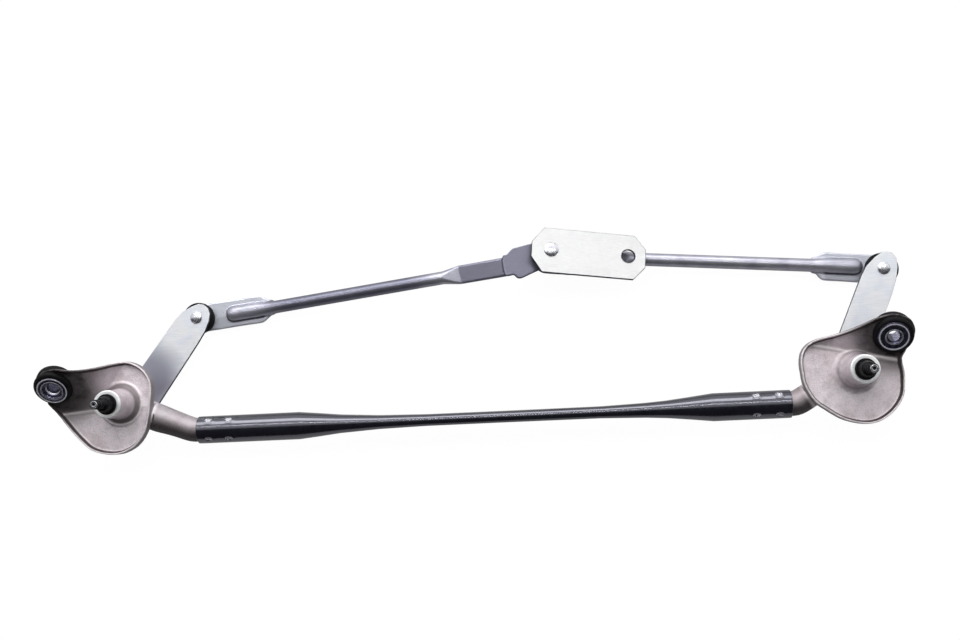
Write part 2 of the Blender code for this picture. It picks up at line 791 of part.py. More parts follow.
def socket_profile(through, play=0.0, widen=0.0, height_play=0.0):
    """A plastic ball socket snapped into a rod eye. Heights run from the ball's centre.

    The profile climbs the cavity, crosses the top and comes down the outer side."""
    cavity = ball_radius + fit_gap + play
    height = ball_radius + fit_gap + height_play
    lip = eye_thickness / 2 + fit_gap
    low = -ball_radius + 0.0008 if through else -height - socket_floor
    body = socket_radius + widen
    flange = socket_flange_radius + widen
    lowest = math.degrees(math.acos(low / height)) if through else 180.0
    first = math.degrees(math.acos(socket_rise / height))
    made = []
    for k in range(6):
        turn = math.radians(lowest + (first - lowest) * k / 5)
        radius = cavity * math.sin(turn) if k or through else 0.0
        made.append((radius, height * math.cos(turn)))
    made += [(flange - 0.0004, socket_rise), (flange, socket_rise - 0.0005)]
    made += [(flange, lip), (body, lip), (body, -lip)]
    made += [(body + 0.0008, -lip - 0.0002), (body + 0.0008, -lip - 0.0012)]
    made += [(body - 0.0009, low)]
    if not through:
        made.append((0.0, low))
    return made


def boot_profile(top, hole):
    """A rubber boot that caps the socket flange and reaches up to the plate."""
    floor = eye_thickness / 2 + fit_gap
    around = socket_flange_radius + fit_gap
    over = socket_rise + fit_gap
    outer = max(boot_radius, around + 0.0016)
    return [
        (hole, top), (boot_top_radius, top), (outer - 0.0004, top - 0.0012),
        (outer, top - 0.0022), (outer, floor + 0.0004), (outer - 0.0005, floor),
        (around, floor), (around, over), (hole, over),
    ]


boot_hole = stud_neck_radius + 0.0022 + fit_gap
for side, pivot, angle, hub, reach, crank_empty, rod_empty, stud_point in (
    ("left", left_pivot, left_crank_angle, left_crank_hub, left_crank_reach,
     left_crank_axis, left_rod_axis, left_ball),
    ("right", right_pivot, right_crank_angle, right_crank_hub, right_crank_reach,
     right_crank_axis, right_rod_axis, right_ball),
):
    finish(turned(side + "_pivot_shaft", shaft_profile), crank_empty, pivot, dark_steel_paint)
    ring(side + "_upper_bush", frame_axis, pivot, bush_inner, bush_outer,
         boss_top_z - 0.0005 - bush_length, boss_top_z - 0.0005, bronze_paint)
    ring(side + "_lower_bush", frame_axis, pivot, bush_inner, bush_outer,
         boss_bottom_z + 0.0005, boss_bottom_z + 0.0005 + bush_length, bronze_paint)
    washer_low = boss_top_z + fit_gap
    washer_high = washer_low + cap_washer_thickness
    ring(side + "_cap_washer", crank_empty, pivot, bush_inner, boss_radius - 0.0004,
         washer_low, washer_high, zinc_paint)
    ring(side + "_shaft_seal", crank_empty, pivot, bush_inner, shaft_radius + 0.0017,
         washer_high + fit_gap, shaft_knurl_z - 0.0003, rubber_paint)
    ring(side + "_thrust_washer", crank_empty, pivot, bush_inner, thrust_washer_radius,
         crank_top_z + fit_gap, boss_bottom_z - fit_gap, steel_paint)
    crank(side, pivot, angle, hub, reach, crank_empty)
    stud_top = stud_point + Vector((0.0, 0.0, crank_thickness + ball_drop))
    stud = stud_profile(rivet_head_radius, rivet_head_height, crank_thickness, ball_drop)
    finish(turned(side + "_ball_stud", stud), crank_empty, stud_top, zinc_paint)
    socket = turned(side + "_outer_socket", socket_profile(False))
    finish(socket, rod_empty, stud_point, socket_paint)
    boot = boot_profile(ball_drop - fit_gap, boot_hole)
    finish(turned(side + "_outer_boot", boot, ring=True), rod_empty, stud_point, rubber_paint)

# Drive crank: the leaning plate with the double ball stud that carries both rods
half = plate_half_width
low_half = plate_low_half_width
plate_outline = [
    (plate_front - 0.0105, -low_half), (plate_front, -low_half + plate_corner - 0.0020),
    (plate_front, half - plate_corner + 0.0010), (plate_front - 0.0110, half - 0.0005),
    (-plate_back + 0.0108, half), (-plate_back, half - plate_corner),
    (-plate_back, -low_half + plate_corner), (-plate_back + 0.0108, -low_half),
]
plate_holes = [((0.0, 0.0), stud_hole), ((motor_hole_distance, 0.0), motor_hole_radius)]
drive_plate = flat("drive_crank_plate", plate_outline, plate_thickness, plate_holes)
plate_middle = plate_rivet - plate_normal * plate_thickness / 2
finish(drive_plate, drive_crank_axis, plate_middle, zinc_paint, plate_turn)
double = stud_profile(plate_rivet_radius, rivet_head_height, plate_thickness, ball_drop,
                      second_ball_drop)
finish(turned("drive_ball_stud", double), drive_crank_axis, plate_rivet, zinc_paint, plate_turn)
left_inner = turned("left_inner_socket", socket_profile(True), ring=True)
finish(left_inner, left_rod_axis, upper_ball, socket_paint, plate_turn)
left_boot = turned("left_inner_boot", boot_profile(ball_drop - fit_gap, boot_hole), ring=True)
finish(left_boot, left_rod_axis, upper_ball, rubber_paint, plate_turn)
open_socket = socket_profile(False, open_play, open_widen, open_height_play)
right_inner = turned("right_inner_socket", open_socket)
finish(right_inner, right_rod_axis, lower_ball, socket_paint, plate_turn)
gap_top = second_ball_drop - 0.0052 - open_lift
low_boot = ring_profile(stud_neck_radius + open_play + fit_gap, socket_flange_radius,
                        socket_rise + fit_gap, gap_top)
right_boot = turned("right_inner_boot", low_boot, ring=True)
finish(right_boot, right_rod_axis, lower_ball, rubber_paint, plate_turn)


def rod_ring(centre, along, across, width, top, bottom, sides=16):
    """A ring across a rod, with its own height above and below its middle line."""
    up = along.cross(across).normalized()
    made = []
    for i in range(sides):
        angle = 2 * math.pi * (i + 0.5) / sides
        rise = math.sin(angle) * (top if math.sin(angle) > 0 else bottom)
        spread = math.cos(angle) * width / 2
        if width > 2.2 * (top + bottom) / 2:
            flatness = math.copysign(abs(math.cos(angle)) ** 0.35, math.cos(angle))
            spread = flatness * width / 2
            level = math.copysign(abs(math.sin(angle)) ** 0.35, math.sin(angle))
            rise = level * (top if level > 0 else bottom)
        made.append(tuple(centre + across * spread + up * rise))
    return made


def rod_body(name, stations, start, direction, normal_end):
    """The bar of a rod through stations of distance, side shift, height, width, top and bottom."""
    across = Vector((-direction.y, direction.x, 0.0))
    rings = []
    for distance, shift, height, width, top, bottom, lean in stations:
        centre = start + direction * distance + across * shift
        centre.z = height
        tilt = Vector((0.0, 0.0, 1.0)).lerp(normal_end, lean).normalized()
        along = across.cross(tilt).normalized()
        side = tilt.cross(along).normalized()
        rings.append(rod_ring(centre, along, side, width, top, bottom))
    return loft(name, rings, closed=False)


def eye_plate(name, outline, centre, turn, thickness):
    made = flat(name, outline, thickness)
    placed = turn.to_4x4()
    placed.translation = centre
    made.matrix_basis = placed
    return settle(made)


def end_outline(length, shoulder, neck, shift, neck_shift, eye=eye_radius):
    """A rod end from its round eye to its shoulders, seen from above, +X towards the rod."""
    made = []
    for k in range(13):
        angle = math.radians(90 + 180 * k / 12)
        made.append((eye * math.cos(angle), eye * math.sin(angle)))
    made += [(shoulder, -eye + 0.0004 + shift), (length, -neck + neck_shift)]
    made += [(length, neck + neck_shift), (shoulder, eye - 0.0004 + shift)]
    return anticlockwise(made)


def turn_from(along, normal):
    across = normal.cross(along).normalized()
    return Matrix((across.cross(normal).normalized(), across, normal)).transposed()


def link_rod(name, parent, outer, start, finish_line, inner, outer_end, bar, inner_end, widen):
    """A rod: bar, outer end with its raised ridge, leaning inner end, and both socket holes."""
    direction = Vector((finish_line.x - start.x, finish_line.y - start.y, 0.0)).normalized()
    body = rod_body(name, bar, start, direction, plate_normal)
    up = Vector((0.0, 0.0, 1.0))
    flat_end = eye_plate(name + "_outer_eye", outer_end, outer, turn_from(direction, up),
                         eye_thickness)
    join(body, flat_end)
    join(body, eye_plate(name + "_inner_eye", inner_end, inner, turn_from(-direction, plate_normal),
                         eye_thickness))
    hole = socket_radius + fit_gap
    cut(body, rod_cutter(name + "_outer_hole", outer, up, hole, -0.02, 0.02))
    cut(body, rod_cutter(name + "_inner_hole", inner, plate_normal, hole + widen, -0.02, 0.02))
    body = settle(body)
    moved_home(body, outer)
    finish(body, parent, outer, steel_paint)


# Left rod: distances from the outer ball, side shift, height, width, above, below, lean
r = rod_radius
w = rod_flat_width
t = rod_flat_thickness / 2
left_start = Vector((left_ball.x, 0.0778, ball_z))
left_finish = Vector((0.068, 0.1151, 0.0))
left_span = (left_finish.xy - left_start.xy).length


def left_height(distance):
    """The bar leaves the flat outer end level and then climbs at its own slope."""
    return ball_z + 0.0008 + left_rod_slope * max(0.0, distance - 0.070)


inner_rise = upper_ball.z + 0.0335 * plate_lean_x
left_bar = [
    (0.0235, 0.0, ball_z, 0.0130, 0.0016, 0.0012, 0.0),
    (0.0262, 0.0, ball_z, 0.0150, 0.0046, 0.0012, 0.0),
    (0.0300, 0.0, ball_z, 0.0154, 0.0062, 0.0013, 0.0),
    (0.0560, 0.0, ball_z, 0.0152, 0.0064, 0.0014, 0.0),
    (0.0660, 0.0, ball_z + 0.0003, 0.0138, 0.0063, 0.0036, 0.0),
    (0.0760, 0.0, left_height(0.0760), 2 * r, r, r, 0.0),
    (0.2350, 0.0, left_height(0.2350), 2 * r, r, r, 0.0),
    (0.2430, 0.0, left_height(0.2430), 0.0134, 0.0052, 0.0044, 0.0),
    (0.2545, 0.0, left_height(0.2545), w, t, t, 0.0),
    (0.2930, 0.0, left_height(0.2930), w, t, t, 0.0),
    (0.3030, 0.0, left_height(0.3030) - 0.0002, w, t, t, 0.5),
    (0.3120, 0.0004, inner_rise - 0.0030, 0.0176, 0.0015, 0.0015, 1.0),
    (0.3180, 0.0006, inner_rise - 0.0022, 0.0170, 0.0011, 0.0011, 1.0),
]
left_outer_end = end_outline(0.0735, 0.0640, 0.0062, -0.0004, -0.0004)
left_inner_end = end_outline(0.0420, 0.0325, 0.0086, 0.0040, 0.0066)
link_rod("left_link_rod", left_rod_axis, left_ball, left_start, left_finish, upper_ball,
         left_outer_end, left_bar, left_inner_end, 0.0)

# Right rod: the same make, level, with its inner end under the drive plate
right_start = Vector((right_ball.x, 0.0929, ball_z))
right_finish = Vector((0.068, 0.1205, 0.0))
right_low = lower_ball.z - 0.0300 * plate_lean_x
right_bar = [
    (0.0175, 0.0, ball_z, 0.0130, 0.0016, 0.0012, 0.0),
    (0.0200, 0.0, ball_z, 0.0150, 0.0046, 0.0012, 0.0),
    (0.0238, 0.0, ball_z, 0.0154, 0.0062, 0.0013, 0.0),
    (0.0450, 0.0, ball_z, 0.0152, 0.0064, 0.0014, 0.0),
    (0.0530, 0.0, ball_z + 0.0002, 0.0136, 0.0062, 0.0038, 0.0),
    (0.0610, 0.0, ball_z - 0.0004, 2 * r, r, r, 0.0),
    (0.2200, 0.0, ball_z - 0.0010, 2 * r, r, r, 0.0),
    (0.2290, 0.0, ball_z - 0.0012, 0.0134, 0.0052, 0.0044, 0.0),
    (0.2400, 0.0, ball_z - 0.0016, w, t, t, 0.0),
    (0.2560, 0.0004, ball_z - 0.0030, w, t, t, 0.4),
    (0.2700, 0.0012, right_low + 0.0002, 0.0180, 0.0018, 0.0018, 1.0),
    (0.2860, 0.0018, right_low + 0.0026, 0.0180, 0.0013, 0.0013, 1.0),
]
right_outer_end = end_outline(0.0600, 0.0510, 0.0064, -0.0012, -0.0018)
right_inner_end = end_outline(0.0420, 0.0230, 0.0078, 0.0, 0.0, eye_radius + open_widen)
link_rod("right_link_rod", right_rod_axis, right_ball, right_start, right_finish, lower_ball,
         right_outer_end, right_bar, right_inner_end, open_widen)


def world_points(names):
    """Every point of the named pieces in the frame of the linkage."""
    bpy.context.view_layer.update()
    graph = bpy.context.evaluated_depsgraph_get()
    found = []
    for made in linkage.objects:
        if made.type != "MESH" or (names and made.name not in names):
            continue
        shown = made.evaluated_get(graph)
        mesh = shown.to_mesh()
        found += [shown.matrix_world @ vert.co for vert in mesh.vertices]
        shown.to_mesh_clear()
    return found


# The linkage rests on the two shaft ends and the left outer socket: find that lean
shaft_points = world_points({"left_pivot_shaft", "right_pivot_shaft"})
socket_points = world_points({"left_outer_socket"})


def lowest(points, lean):
    return min(p.z * math.cos(lean) + p.y * math.sin(lean) for p in points)


low_lean, high_lean = math.radians(4.0), math.radians(16.0)
for _ in range(40):
    lean = (low_lean + high_lean) / 2
    if lowest(socket_points, lean) < lowest(shaft_points, lean):
        low_lean = lean
    else:
        high_lean = lean
frame_axis.rotation_euler = (lean, 0.0, 0.0)
every_point = world_points(None)
low = Vector([min(p[i] for p in every_point) for i in range(3)])
high = Vector([max(p[i] for p in every_point) for i in range(3)])
frame_axis.location = (-(low.x + high.x) / 2, -(low.y + high.y) / 2, -low.z)
bpy.context.view_layer.update()
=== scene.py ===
# %% [markdown]
# # A twin-pivot wiper linkage
# This lesson dresses a measured model of a windscreen wiper linkage. Two die-cast housings carry
# the wiper shafts, a black tube holds them apart, and cranks, rods and a leaning plate pass the
# swing of the motor on. The frame brings the joints and the measured pieces. The outlines drawn
# here and the finishes follow the photograph.

# %% Load the measured frame
import json
import math

import bmesh
import bpy
import numpy as np
from mathutils import Matrix, Vector


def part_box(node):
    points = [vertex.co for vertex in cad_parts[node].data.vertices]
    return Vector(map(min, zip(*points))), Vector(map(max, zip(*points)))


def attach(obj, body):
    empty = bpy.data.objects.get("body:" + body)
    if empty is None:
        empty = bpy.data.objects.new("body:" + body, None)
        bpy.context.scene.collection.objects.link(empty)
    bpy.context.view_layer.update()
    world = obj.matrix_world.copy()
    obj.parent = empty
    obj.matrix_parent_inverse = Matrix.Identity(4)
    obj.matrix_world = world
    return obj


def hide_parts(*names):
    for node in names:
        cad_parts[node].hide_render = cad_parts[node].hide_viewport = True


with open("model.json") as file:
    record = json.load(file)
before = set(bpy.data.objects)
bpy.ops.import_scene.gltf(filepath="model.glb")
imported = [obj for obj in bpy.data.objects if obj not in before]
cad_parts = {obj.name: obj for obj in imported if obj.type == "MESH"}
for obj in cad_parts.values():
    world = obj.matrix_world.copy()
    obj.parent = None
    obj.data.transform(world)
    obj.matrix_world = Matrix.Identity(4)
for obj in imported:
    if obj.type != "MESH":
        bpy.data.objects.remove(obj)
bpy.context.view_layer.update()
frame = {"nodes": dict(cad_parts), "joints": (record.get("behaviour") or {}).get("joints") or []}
for name in ("Cube", "Light", "Camera"):
    if name in bpy.data.objects:
        bpy.data.objects.remove(bpy.data.objects[name], do_unlink=True)

# %% [markdown]
# All pieces are drawn in the linkage's own frame: X along the tube, Z along the shafts, origin
# midway between the shafts, in millimetres. The joints of the frame say where that frame lies on
# the floor, so it is worked out from them and every mesh is moved by the same matrix.

# %% The frame of the linkage, from the joints
joint = {one["name"]: one for one in frame["joints"]}
left_hinge = Vector(joint["left_crank_swing"]["pos_m"])
right_hinge = Vector(joint["right_crank_swing"]["pos_m"])
shaft_up = Vector(joint["left_crank_swing"]["axis"]).normalized()
along_tube = (right_hinge - left_hinge).normalized()
across_tube = shaft_up.cross(along_tube).normalized()
linkage = Matrix((along_tube, across_tube, shaft_up)).transposed().to_4x4()
linkage.translation = (left_hinge + right_hinge) / 2
to_world = linkage @ Matrix.Scale(0.001, 4)
half_span = (right_hinge - left_hinge).length * 500
print("shafts are %.1f mm apart" % (2 * half_span))


def linkage_point(joint_name):
    """A joint's point in the frame of the linkage, in millimetres."""
    return to_world.inverted() @ Vector(joint[joint_name]["pos_m"])


def standing(point, normal=(0.0, 0.0, 1.0)):
    """The place of a turned piece: its own Z along the normal, its origin at the point."""
    turn = Vector((0.0, 0.0, 1.0)).rotation_difference(Vector(normal).normalized())
    return to_world @ Matrix.Translation(Vector(point)) @ turn.to_matrix().to_4x4()


# %% [markdown]
# ## Finishes
# Each finish is a small node tree. One helper adds a node and fills its sockets, with a number or
# with another socket, which keeps the trees short enough to read.

# %% A helper for material nodes
def start_finish(name, colour, metallic, roughness, **further):
    """A Principled material and its place to read the pattern from."""
    made = bpy.data.materials.new(name)
    made.use_nodes = True
    made.diffuse_color = (*colour, 1.0)
    shader = made.node_tree.nodes["Principled BSDF"]
    given = {"Base_Color": (*colour, 1.0), "Metallic": metallic, "Roughness": roughness, **further}
    for key, value in given.items():
        shader.inputs[key.replace("_", " ")].default_value = value
    spot = made.node_tree.nodes.new("ShaderNodeTexCoord").outputs["Object"]
    return made, made.node_tree, shader, spot


def add(tree, kind, settings=None, **sockets):
    """Adds a node. A socket's value is a constant or another node's output."""
    made = tree.nodes.new(kind)
    for key, value in (settings or {}).items():
        setattr(made, key, value)
    for key, value in sockets.items():
        socket = made.inputs[int(key[1:])] if key[0] == "_" else made.inputs[key.replace("_", " ")]
        if isinstance(value, bpy.types.NodeSocket):
            tree.links.new(value, socket)
        else:
            socket.default_value = value
    return made


def noise(tree, spot, scale, detail=3.0, roughness=0.55, stretch=None):
    """A noise value between 0 and 1, in patches of about 1/scale metres."""
    if stretch:
        spot = add(tree, "ShaderNodeMapping", Vector=spot, Scale=stretch).outputs["Vector"]
    made = add(tree, "ShaderNodeTexNoise", Vector=spot, Scale=scale, Detail=detail,
               Roughness=roughness)
    return made.outputs["Fac"]


def ramp(tree, value, *stops):
    """Colours or levels along a value. Each stop is a position and a colour or a number."""
    made = add(tree, "ShaderNodeValToRGB", Fac=value)
    edge = made.color_ramp.elements
    while len(edge) < len(stops):
        edge.new(0.5)
    for element, (position, colour) in zip(edge, stops):
        element.position = position
        level = colour if isinstance(colour, tuple) else (colour, colour, colour)
        element.color = (*level, 1.0)
    return made.outputs["Color"]


def mixed(tree, share, first, second, kind="MIX"):
    """A colour between two others."""
    made = tree.nodes.new("ShaderNodeMix")
    made.data_type = "RGBA"
    made.blend_type = kind
    for index, value in ((0, share), (6, first), (7, second)):
        if isinstance(value, bpy.types.NodeSocket):
            tree.links.new(value, made.inputs[index])
        elif index:
            made.inputs[index].default_value = (*value, 1.0)
        else:
            made.inputs[index].default_value = value
    return made.outputs[2]


def bump(tree, height, depth, before=None):
    """Turns a height pattern into a bump, with the depth in metres."""
    made = add(tree, "ShaderNodeBump", Height=height, Distance=depth, Strength=1.0)
    if before:
        tree.links.new(before, made.inputs["Normal"])
    return made.outputs["Normal"]


def connect(tree, shader, colour=None, roughness=None, normal=None):
    for socket, value in (("Base Color", colour), ("Roughness", roughness), ("Normal", normal)):
        if value:
            tree.links.new(value, shader.inputs[socket])


def near(tree, spot, point, inner, outer):
    """1 within the inner distance of a point, 0 beyond the outer one, in metres."""
    away = add(tree, "ShaderNodeVectorMath", {"operation": "DISTANCE"}, _0=spot, _1=tuple(point))
    return add(tree, "ShaderNodeMapRange", {"interpolation_type": "SMOOTHSTEP"},
               Value=away.outputs["Value"], From_Min=outer, From_Max=inner).outputs["Result"]


def worn_edges(tree, low=0.52, high=0.60):
    """1 on outer edges and 0 elsewhere, from how sharply the surface bends there."""
    bend = tree.nodes.new("ShaderNodeNewGeometry").outputs["Pointiness"]
    return add(tree, "ShaderNodeMapRange", Value=bend, From_Min=low,
               From_Max=high).outputs["Result"]


def stored(tree, title):
    """A number that the mesh holds at each point, under its title."""
    return add(tree, "ShaderNodeAttribute", {"attribute_name": title}).outputs["Fac"]


def maths(tree, operation, *values):
    """A calculation with numbers or other nodes' outputs."""
    sockets = {"_%d" % place: value for place, value in enumerate(values)}
    return add(tree, "ShaderNodeMath", {"operation": operation}, **sockets).outputs[0]


def patterned(name, colour, metallic, roughness, pattern, colours, levels, depth, relief=None,
              **further):
    """A finish whose colour and roughness follow one noise. Its bump follows that or another."""
    made, tree, shader, spot = start_finish(name, colour, metallic, roughness, **further)
    value = noise(tree, spot, *pattern)
    height = noise(tree, spot, *relief) if relief else value
    connect(tree, shader, ramp(tree, value, *colours), ramp(tree, value, *levels),
            bump(tree, height, depth))
    return made


# %% [markdown]
# The housings are die-cast aluminium: a warm grey skin with a fine grain, cloudy stains where the
# mould release dried, paler rims where the skin is rubbed, and a dull sheen. Round each rubber
# mount the ear is darkened nearly black with painted shade, laid by its distance from the mount.
# Two numbers that the mesh stores at its points add painted shade in the corners, on the skirt and
# under the spigot, and a painted highlight along the fold.

# %% Cast aluminium
def middle_of(node):
    """The middle of a node's box."""
    low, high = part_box(node)
    return (Vector(low) + Vector(high)) / 2


def make_cast_aluminium():
    made, tree, shader, spot = start_finish("cast_aluminium", (0.52, 0.47, 0.48), 0.45, 0.46)
    cloud = noise(tree, spot, 38.0, 4.0)
    stain = noise(tree, spot, 130.0, 5.0, 0.65)
    grain = noise(tree, spot, 1500.0, 2.0, 0.7)
    base = ramp(tree, cloud, (0.28, (0.60, 0.52, 0.545)), (0.52, (0.76, 0.69, 0.73)),
                (0.74, (0.84, 0.785, 0.82)))
    spots = ramp(tree, stain, (0.35, 0.70), (0.55, 1.0))
    base = mixed(tree, 0.65, base, spots, "MULTIPLY")
    specks = ramp(tree, grain, (0.30, 0.62), (0.62, 1.25))
    base = mixed(tree, 0.60, base, specks, "MULTIPLY")
    base = mixed(tree, worn_edges(tree), base, (0.80, 0.75, 0.76))
    # Painted shade: the ear round each rubber mount is darkened nearly black by distance from it.
    for node, inner, outer in (("left_grommet", 0.025, 0.056), ("right_grommet", 0.021, 0.050)):
        soil = near(tree, spot, middle_of(node), inner, outer)
        soil = mixed(tree, 0.5, soil, ramp(tree, stain, (0.3, 0.55), (0.7, 1.0)), "MULTIPLY")
        base = mixed(tree, soil, base, (0.030, 0.024, 0.026))
    # Painted highlight: a paler line along the fold's crease, stored in the mesh.
    base = mixed(tree, stored(tree, "crest"), base, (0.86, 0.80, 0.82))
    # Painted shade: corners, skirt, boss foot and the spigot's underside are darkened by the stored
    # share.
    dirt = mixed(tree, 0.35, stored(tree, "grime"), specks, "MULTIPLY")
    base = mixed(tree, dirt, base, (0.060, 0.048, 0.050))
    rough = ramp(tree, stain, (0.3, 0.42), (0.7, 0.60))
    rise = bump(tree, grain, 0.00012)
    rise = bump(tree, noise(tree, spot, 420.0, 3.0), 0.00022, rise)
    connect(tree, shader, base, rough, rise)
    return made


cast_aluminium = make_cast_aluminium()
print("made", cast_aluminium.name)

# %% [markdown]
# The tube is steel under black electro-dipped paint. Such paint is smooth and glossy with a very
# fine orange peel, a little dust, and thin scuffs that run along the tube. Where the crimping
# punches struck, the paint is painted bright: partly chipped paint, partly a painted highlight of
# the dents, and the mesh stores where.

# %% Black dipped paint
def make_black_paint():
    made, tree, shader, spot = start_finish(
        "black_dipped_paint", (0.010, 0.010, 0.018), 0.0, 0.20, Coat_Weight=0.5,
        Coat_Roughness=0.05, Specular_IOR_Level=1.4, Specular_Tint=(0.85, 0.86, 1.0, 1.0))
    cloud = noise(tree, spot, 60.0, 4.0)
    scuff = noise(tree, spot, 900.0, 3.0, 0.6, (0.035, 1.0, 1.0))
    base = ramp(tree, cloud, (0.30, (0.002, 0.002, 0.005)), (0.75, (0.006, 0.006, 0.012)))
    lines = ramp(tree, scuff, (0.66, 0.0), (0.80, 0.35))
    base = mixed(tree, lines, base, (0.10, 0.10, 0.13))
    # Crimp dents painted bright: partly chipped paint, partly a painted highlight.
    chips = ramp(tree, noise(tree, spot, 1300.0, 3.0, 0.7), (0.46, 0.0), (0.54, 1.0))
    chips = mixed(tree, 1.0, stored(tree, "struck"), chips, "MULTIPLY")
    base = mixed(tree, chips, base, (0.80, 0.80, 0.86))
    rough = ramp(tree, noise(tree, spot, 240.0, 5.0), (0.30, 0.15), (0.75, 0.27))
    rise = bump(tree, noise(tree, spot, 500.0, 2.0), 0.000012)
    connect(tree, shader, base, rough, rise)
    return made


black_paint = make_black_paint()
print("made", black_paint.name)

# %% [markdown]
# Cranks, plate and rods are steel. Zinc plating on the pressed parts is pale, nearly white, with a
# faint cloud of blue and straw, and painted shade darkens it beside the left shaft. The rods are
# drawn bar, so their grain runs along them. Painted shade darkens them near the plate and along the
# left bar, and the mesh stores where the outer flats are painted lighter and where painted shade
# lies along the ridge.

# %% Zinc plate and drawn steel
def make_zinc_plate(name="zinc_plate", level=0.90, blue=1.0):
    """Zinc plate of a given brightness, with its share of the blue cloud."""
    made, tree, shader, spot = start_finish(name, (level, level, level), 0.70, 0.38)
    tints = ((0.28, (-0.14, -0.10, 0.0)), (0.50, (-0.04, -0.02, 0.03)), (0.74, (0.0, 0.0, 0.01)))
    stops = [(at, tuple(level * (1 + blue * part) for part in tint)) for at, tint in tints]
    base = ramp(tree, noise(tree, spot, 55.0, 4.0), *stops)
    rolling = noise(tree, spot, 1400.0, 3.0, 0.6, (0.05, 1.0, 1.0))
    base = mixed(tree, 0.30, base, ramp(tree, rolling, (0.30, 0.72), (0.62, 1.08)), "MULTIPLY")
    flecks = ramp(tree, noise(tree, spot, 700.0, 4.0, 0.7), (0.63, 0.0), (0.74, 0.55))
    base = mixed(tree, flecks, base, (level * 0.60, level * 0.62, level * 0.68))
    # Painted shade: the zinc is darkened round a point beside the left shaft.
    beside_shaft = to_world @ Vector((-half_span + 14.0, 24.0, -22.0))
    film = near(tree, spot, beside_shaft, 0.014, 0.043)
    base = mixed(tree, film, base, (0.32, 0.33, 0.39))
    rough = ramp(tree, noise(tree, spot, 190.0, 5.0), (0.30, 0.30), (0.72, 0.50))
    rise = bump(tree, rolling, 0.00002)
    rise = bump(tree, noise(tree, spot, 1700.0, 2.0), 0.00003, rise)
    connect(tree, shader, base, rough, rise)
    return made


def make_drawn_steel():
    """Drawn bar: each painted shade patch has its middle, two distances, a strength and a colour.
    """
    made, tree, shader, spot = start_finish("drawn_steel", (0.40, 0.40, 0.46), 0.75, 0.38)
    cloud = noise(tree, spot, 70.0, 4.0)
    base = ramp(tree, cloud, (0.30, (0.34, 0.34, 0.41)), (0.52, (0.42, 0.42, 0.49)),
                (0.75, (0.50, 0.50, 0.56)))
    # Painted shade: darker patches with crisp edges near the plate and along the left bar.
    films = ((Vector((30.0, 116.0, -18.0)), 0.0465, 0.0480, 1.0, (0.205, 0.205, 0.265)),
             (linkage_point("drive_crank_turn"), 0.0440, 0.0470, 1.0, (0.145, 0.145, 0.190)),
             (Vector((-125.0, 93.0, -30.0)), 0.060, 0.095, 0.72, (0.10, 0.10, 0.15)))
    for middle, inner, outer, strength, colour in films:
        film = near(tree, spot, to_world @ middle, inner, outer)
        base = mixed(tree, maths(tree, "MULTIPLY", film, strength), base, colour)
    # Painted light: the outer flats are made paler where the mesh says so.
    base = mixed(tree, stored(tree, "clean"), base, (0.70, 0.72, 0.80))
    base = mixed(tree, stored(tree, "grime"), base, (0.030, 0.028, 0.045))
    drawn = noise(tree, spot, 2200.0, 3.0, 0.6, (0.015, 1.0, 1.0))
    base = mixed(tree, 0.30, base, ramp(tree, drawn, (0.30, 0.70), (0.65, 1.10)), "MULTIPLY")
    stain = ramp(tree, noise(tree, spot, 330.0, 5.0, 0.7), (0.62, 0.0), (0.76, 0.4))
    base = mixed(tree, stain, base, (0.16, 0.15, 0.19))
    base = mixed(tree, worn_edges(tree, 0.56, 0.70), base, (0.62, 0.62, 0.67))
    rough = ramp(tree, noise(tree, spot, 260.0, 5.0), (0.28, 0.29), (0.74, 0.42))
    rise = bump(tree, drawn, 0.000008)
    rise = bump(tree, noise(tree, spot, 900.0, 2.0), 0.000006, rise)
    connect(tree, shader, base, rough, rise)
    return made


zinc_plate = make_zinc_plate()
# Painted shade: the drive plate takes a darker copy of the same zinc as the cranks.
plate_zinc = make_zinc_plate("plate_zinc", 0.60, 0.10)
bright_steel = make_zinc_plate("bright_steel", 0.98, 0.3)
drawn_steel = make_drawn_steel()
# Painted shade: near-black for the cut sides of the stampings.
sheared_edge = patterned("sheared_edge", (0.02, 0.02, 0.03), 0.0, 0.6, (900.0, 4.0, 0.7),
                         [(0.32, (0.010, 0.010, 0.016)), (0.70, (0.035, 0.035, 0.050))],
                         [(0.3, 0.42), (0.7, 0.62)], 0.00008, Specular_IOR_Level=0.2)
print("made", zinc_plate.name, bright_steel.name, drawn_steel.name)

# %% [markdown]
# Turned pieces carry a UV map whose second coordinate runs along the profile. Reading it gives the
# fine rings that a lathe leaves, in any lean of the piece.

# %% Dark turned steel, rubber, plastic and bronze
def turned_lines(tree, scale):
    """Fine rings round a turned piece, from the UV map that runs along its profile."""
    chart = tree.nodes.new("ShaderNodeUVMap")
    chart.uv_map = "turned"
    parts = add(tree, "ShaderNodeSeparateXYZ", Vector=chart.outputs["UV"])
    line = add(tree, "ShaderNodeCombineXYZ", X=parts.outputs["Y"])
    return noise(tree, line.outputs["Vector"], scale, 4.0, 0.7)


def make_turned_steel(name, dark, pale, metallic, rough_low, rough_high, worn, **further):
    """Turned steel between a dark and a pale colour, with scratches in a third."""
    made, tree, shader, spot = start_finish(name, pale, metallic, rough_low, **further)
    rings = turned_lines(tree, 2600.0)
    cloud = noise(tree, spot, 300.0, 4.0)
    base = ramp(tree, cloud, (0.30, dark), (0.70, pale))
    base = mixed(tree, 0.45, base, ramp(tree, rings, (0.30, 0.60), (0.68, 1.30)), "MULTIPLY")
    scratch = ramp(tree, noise(tree, spot, 1100.0, 4.0, 0.75), (0.62, 0.0), (0.74, 0.7))
    base = mixed(tree, scratch, base, worn)
    rough = ramp(tree, cloud, (0.30, rough_low), (0.74, rough_high))
    rise = bump(tree, rings, 0.00004)
    rise = bump(tree, noise(tree, spot, 1600.0, 2.0), 0.00003, rise)
    connect(tree, shader, base, rough, rise)
    return made


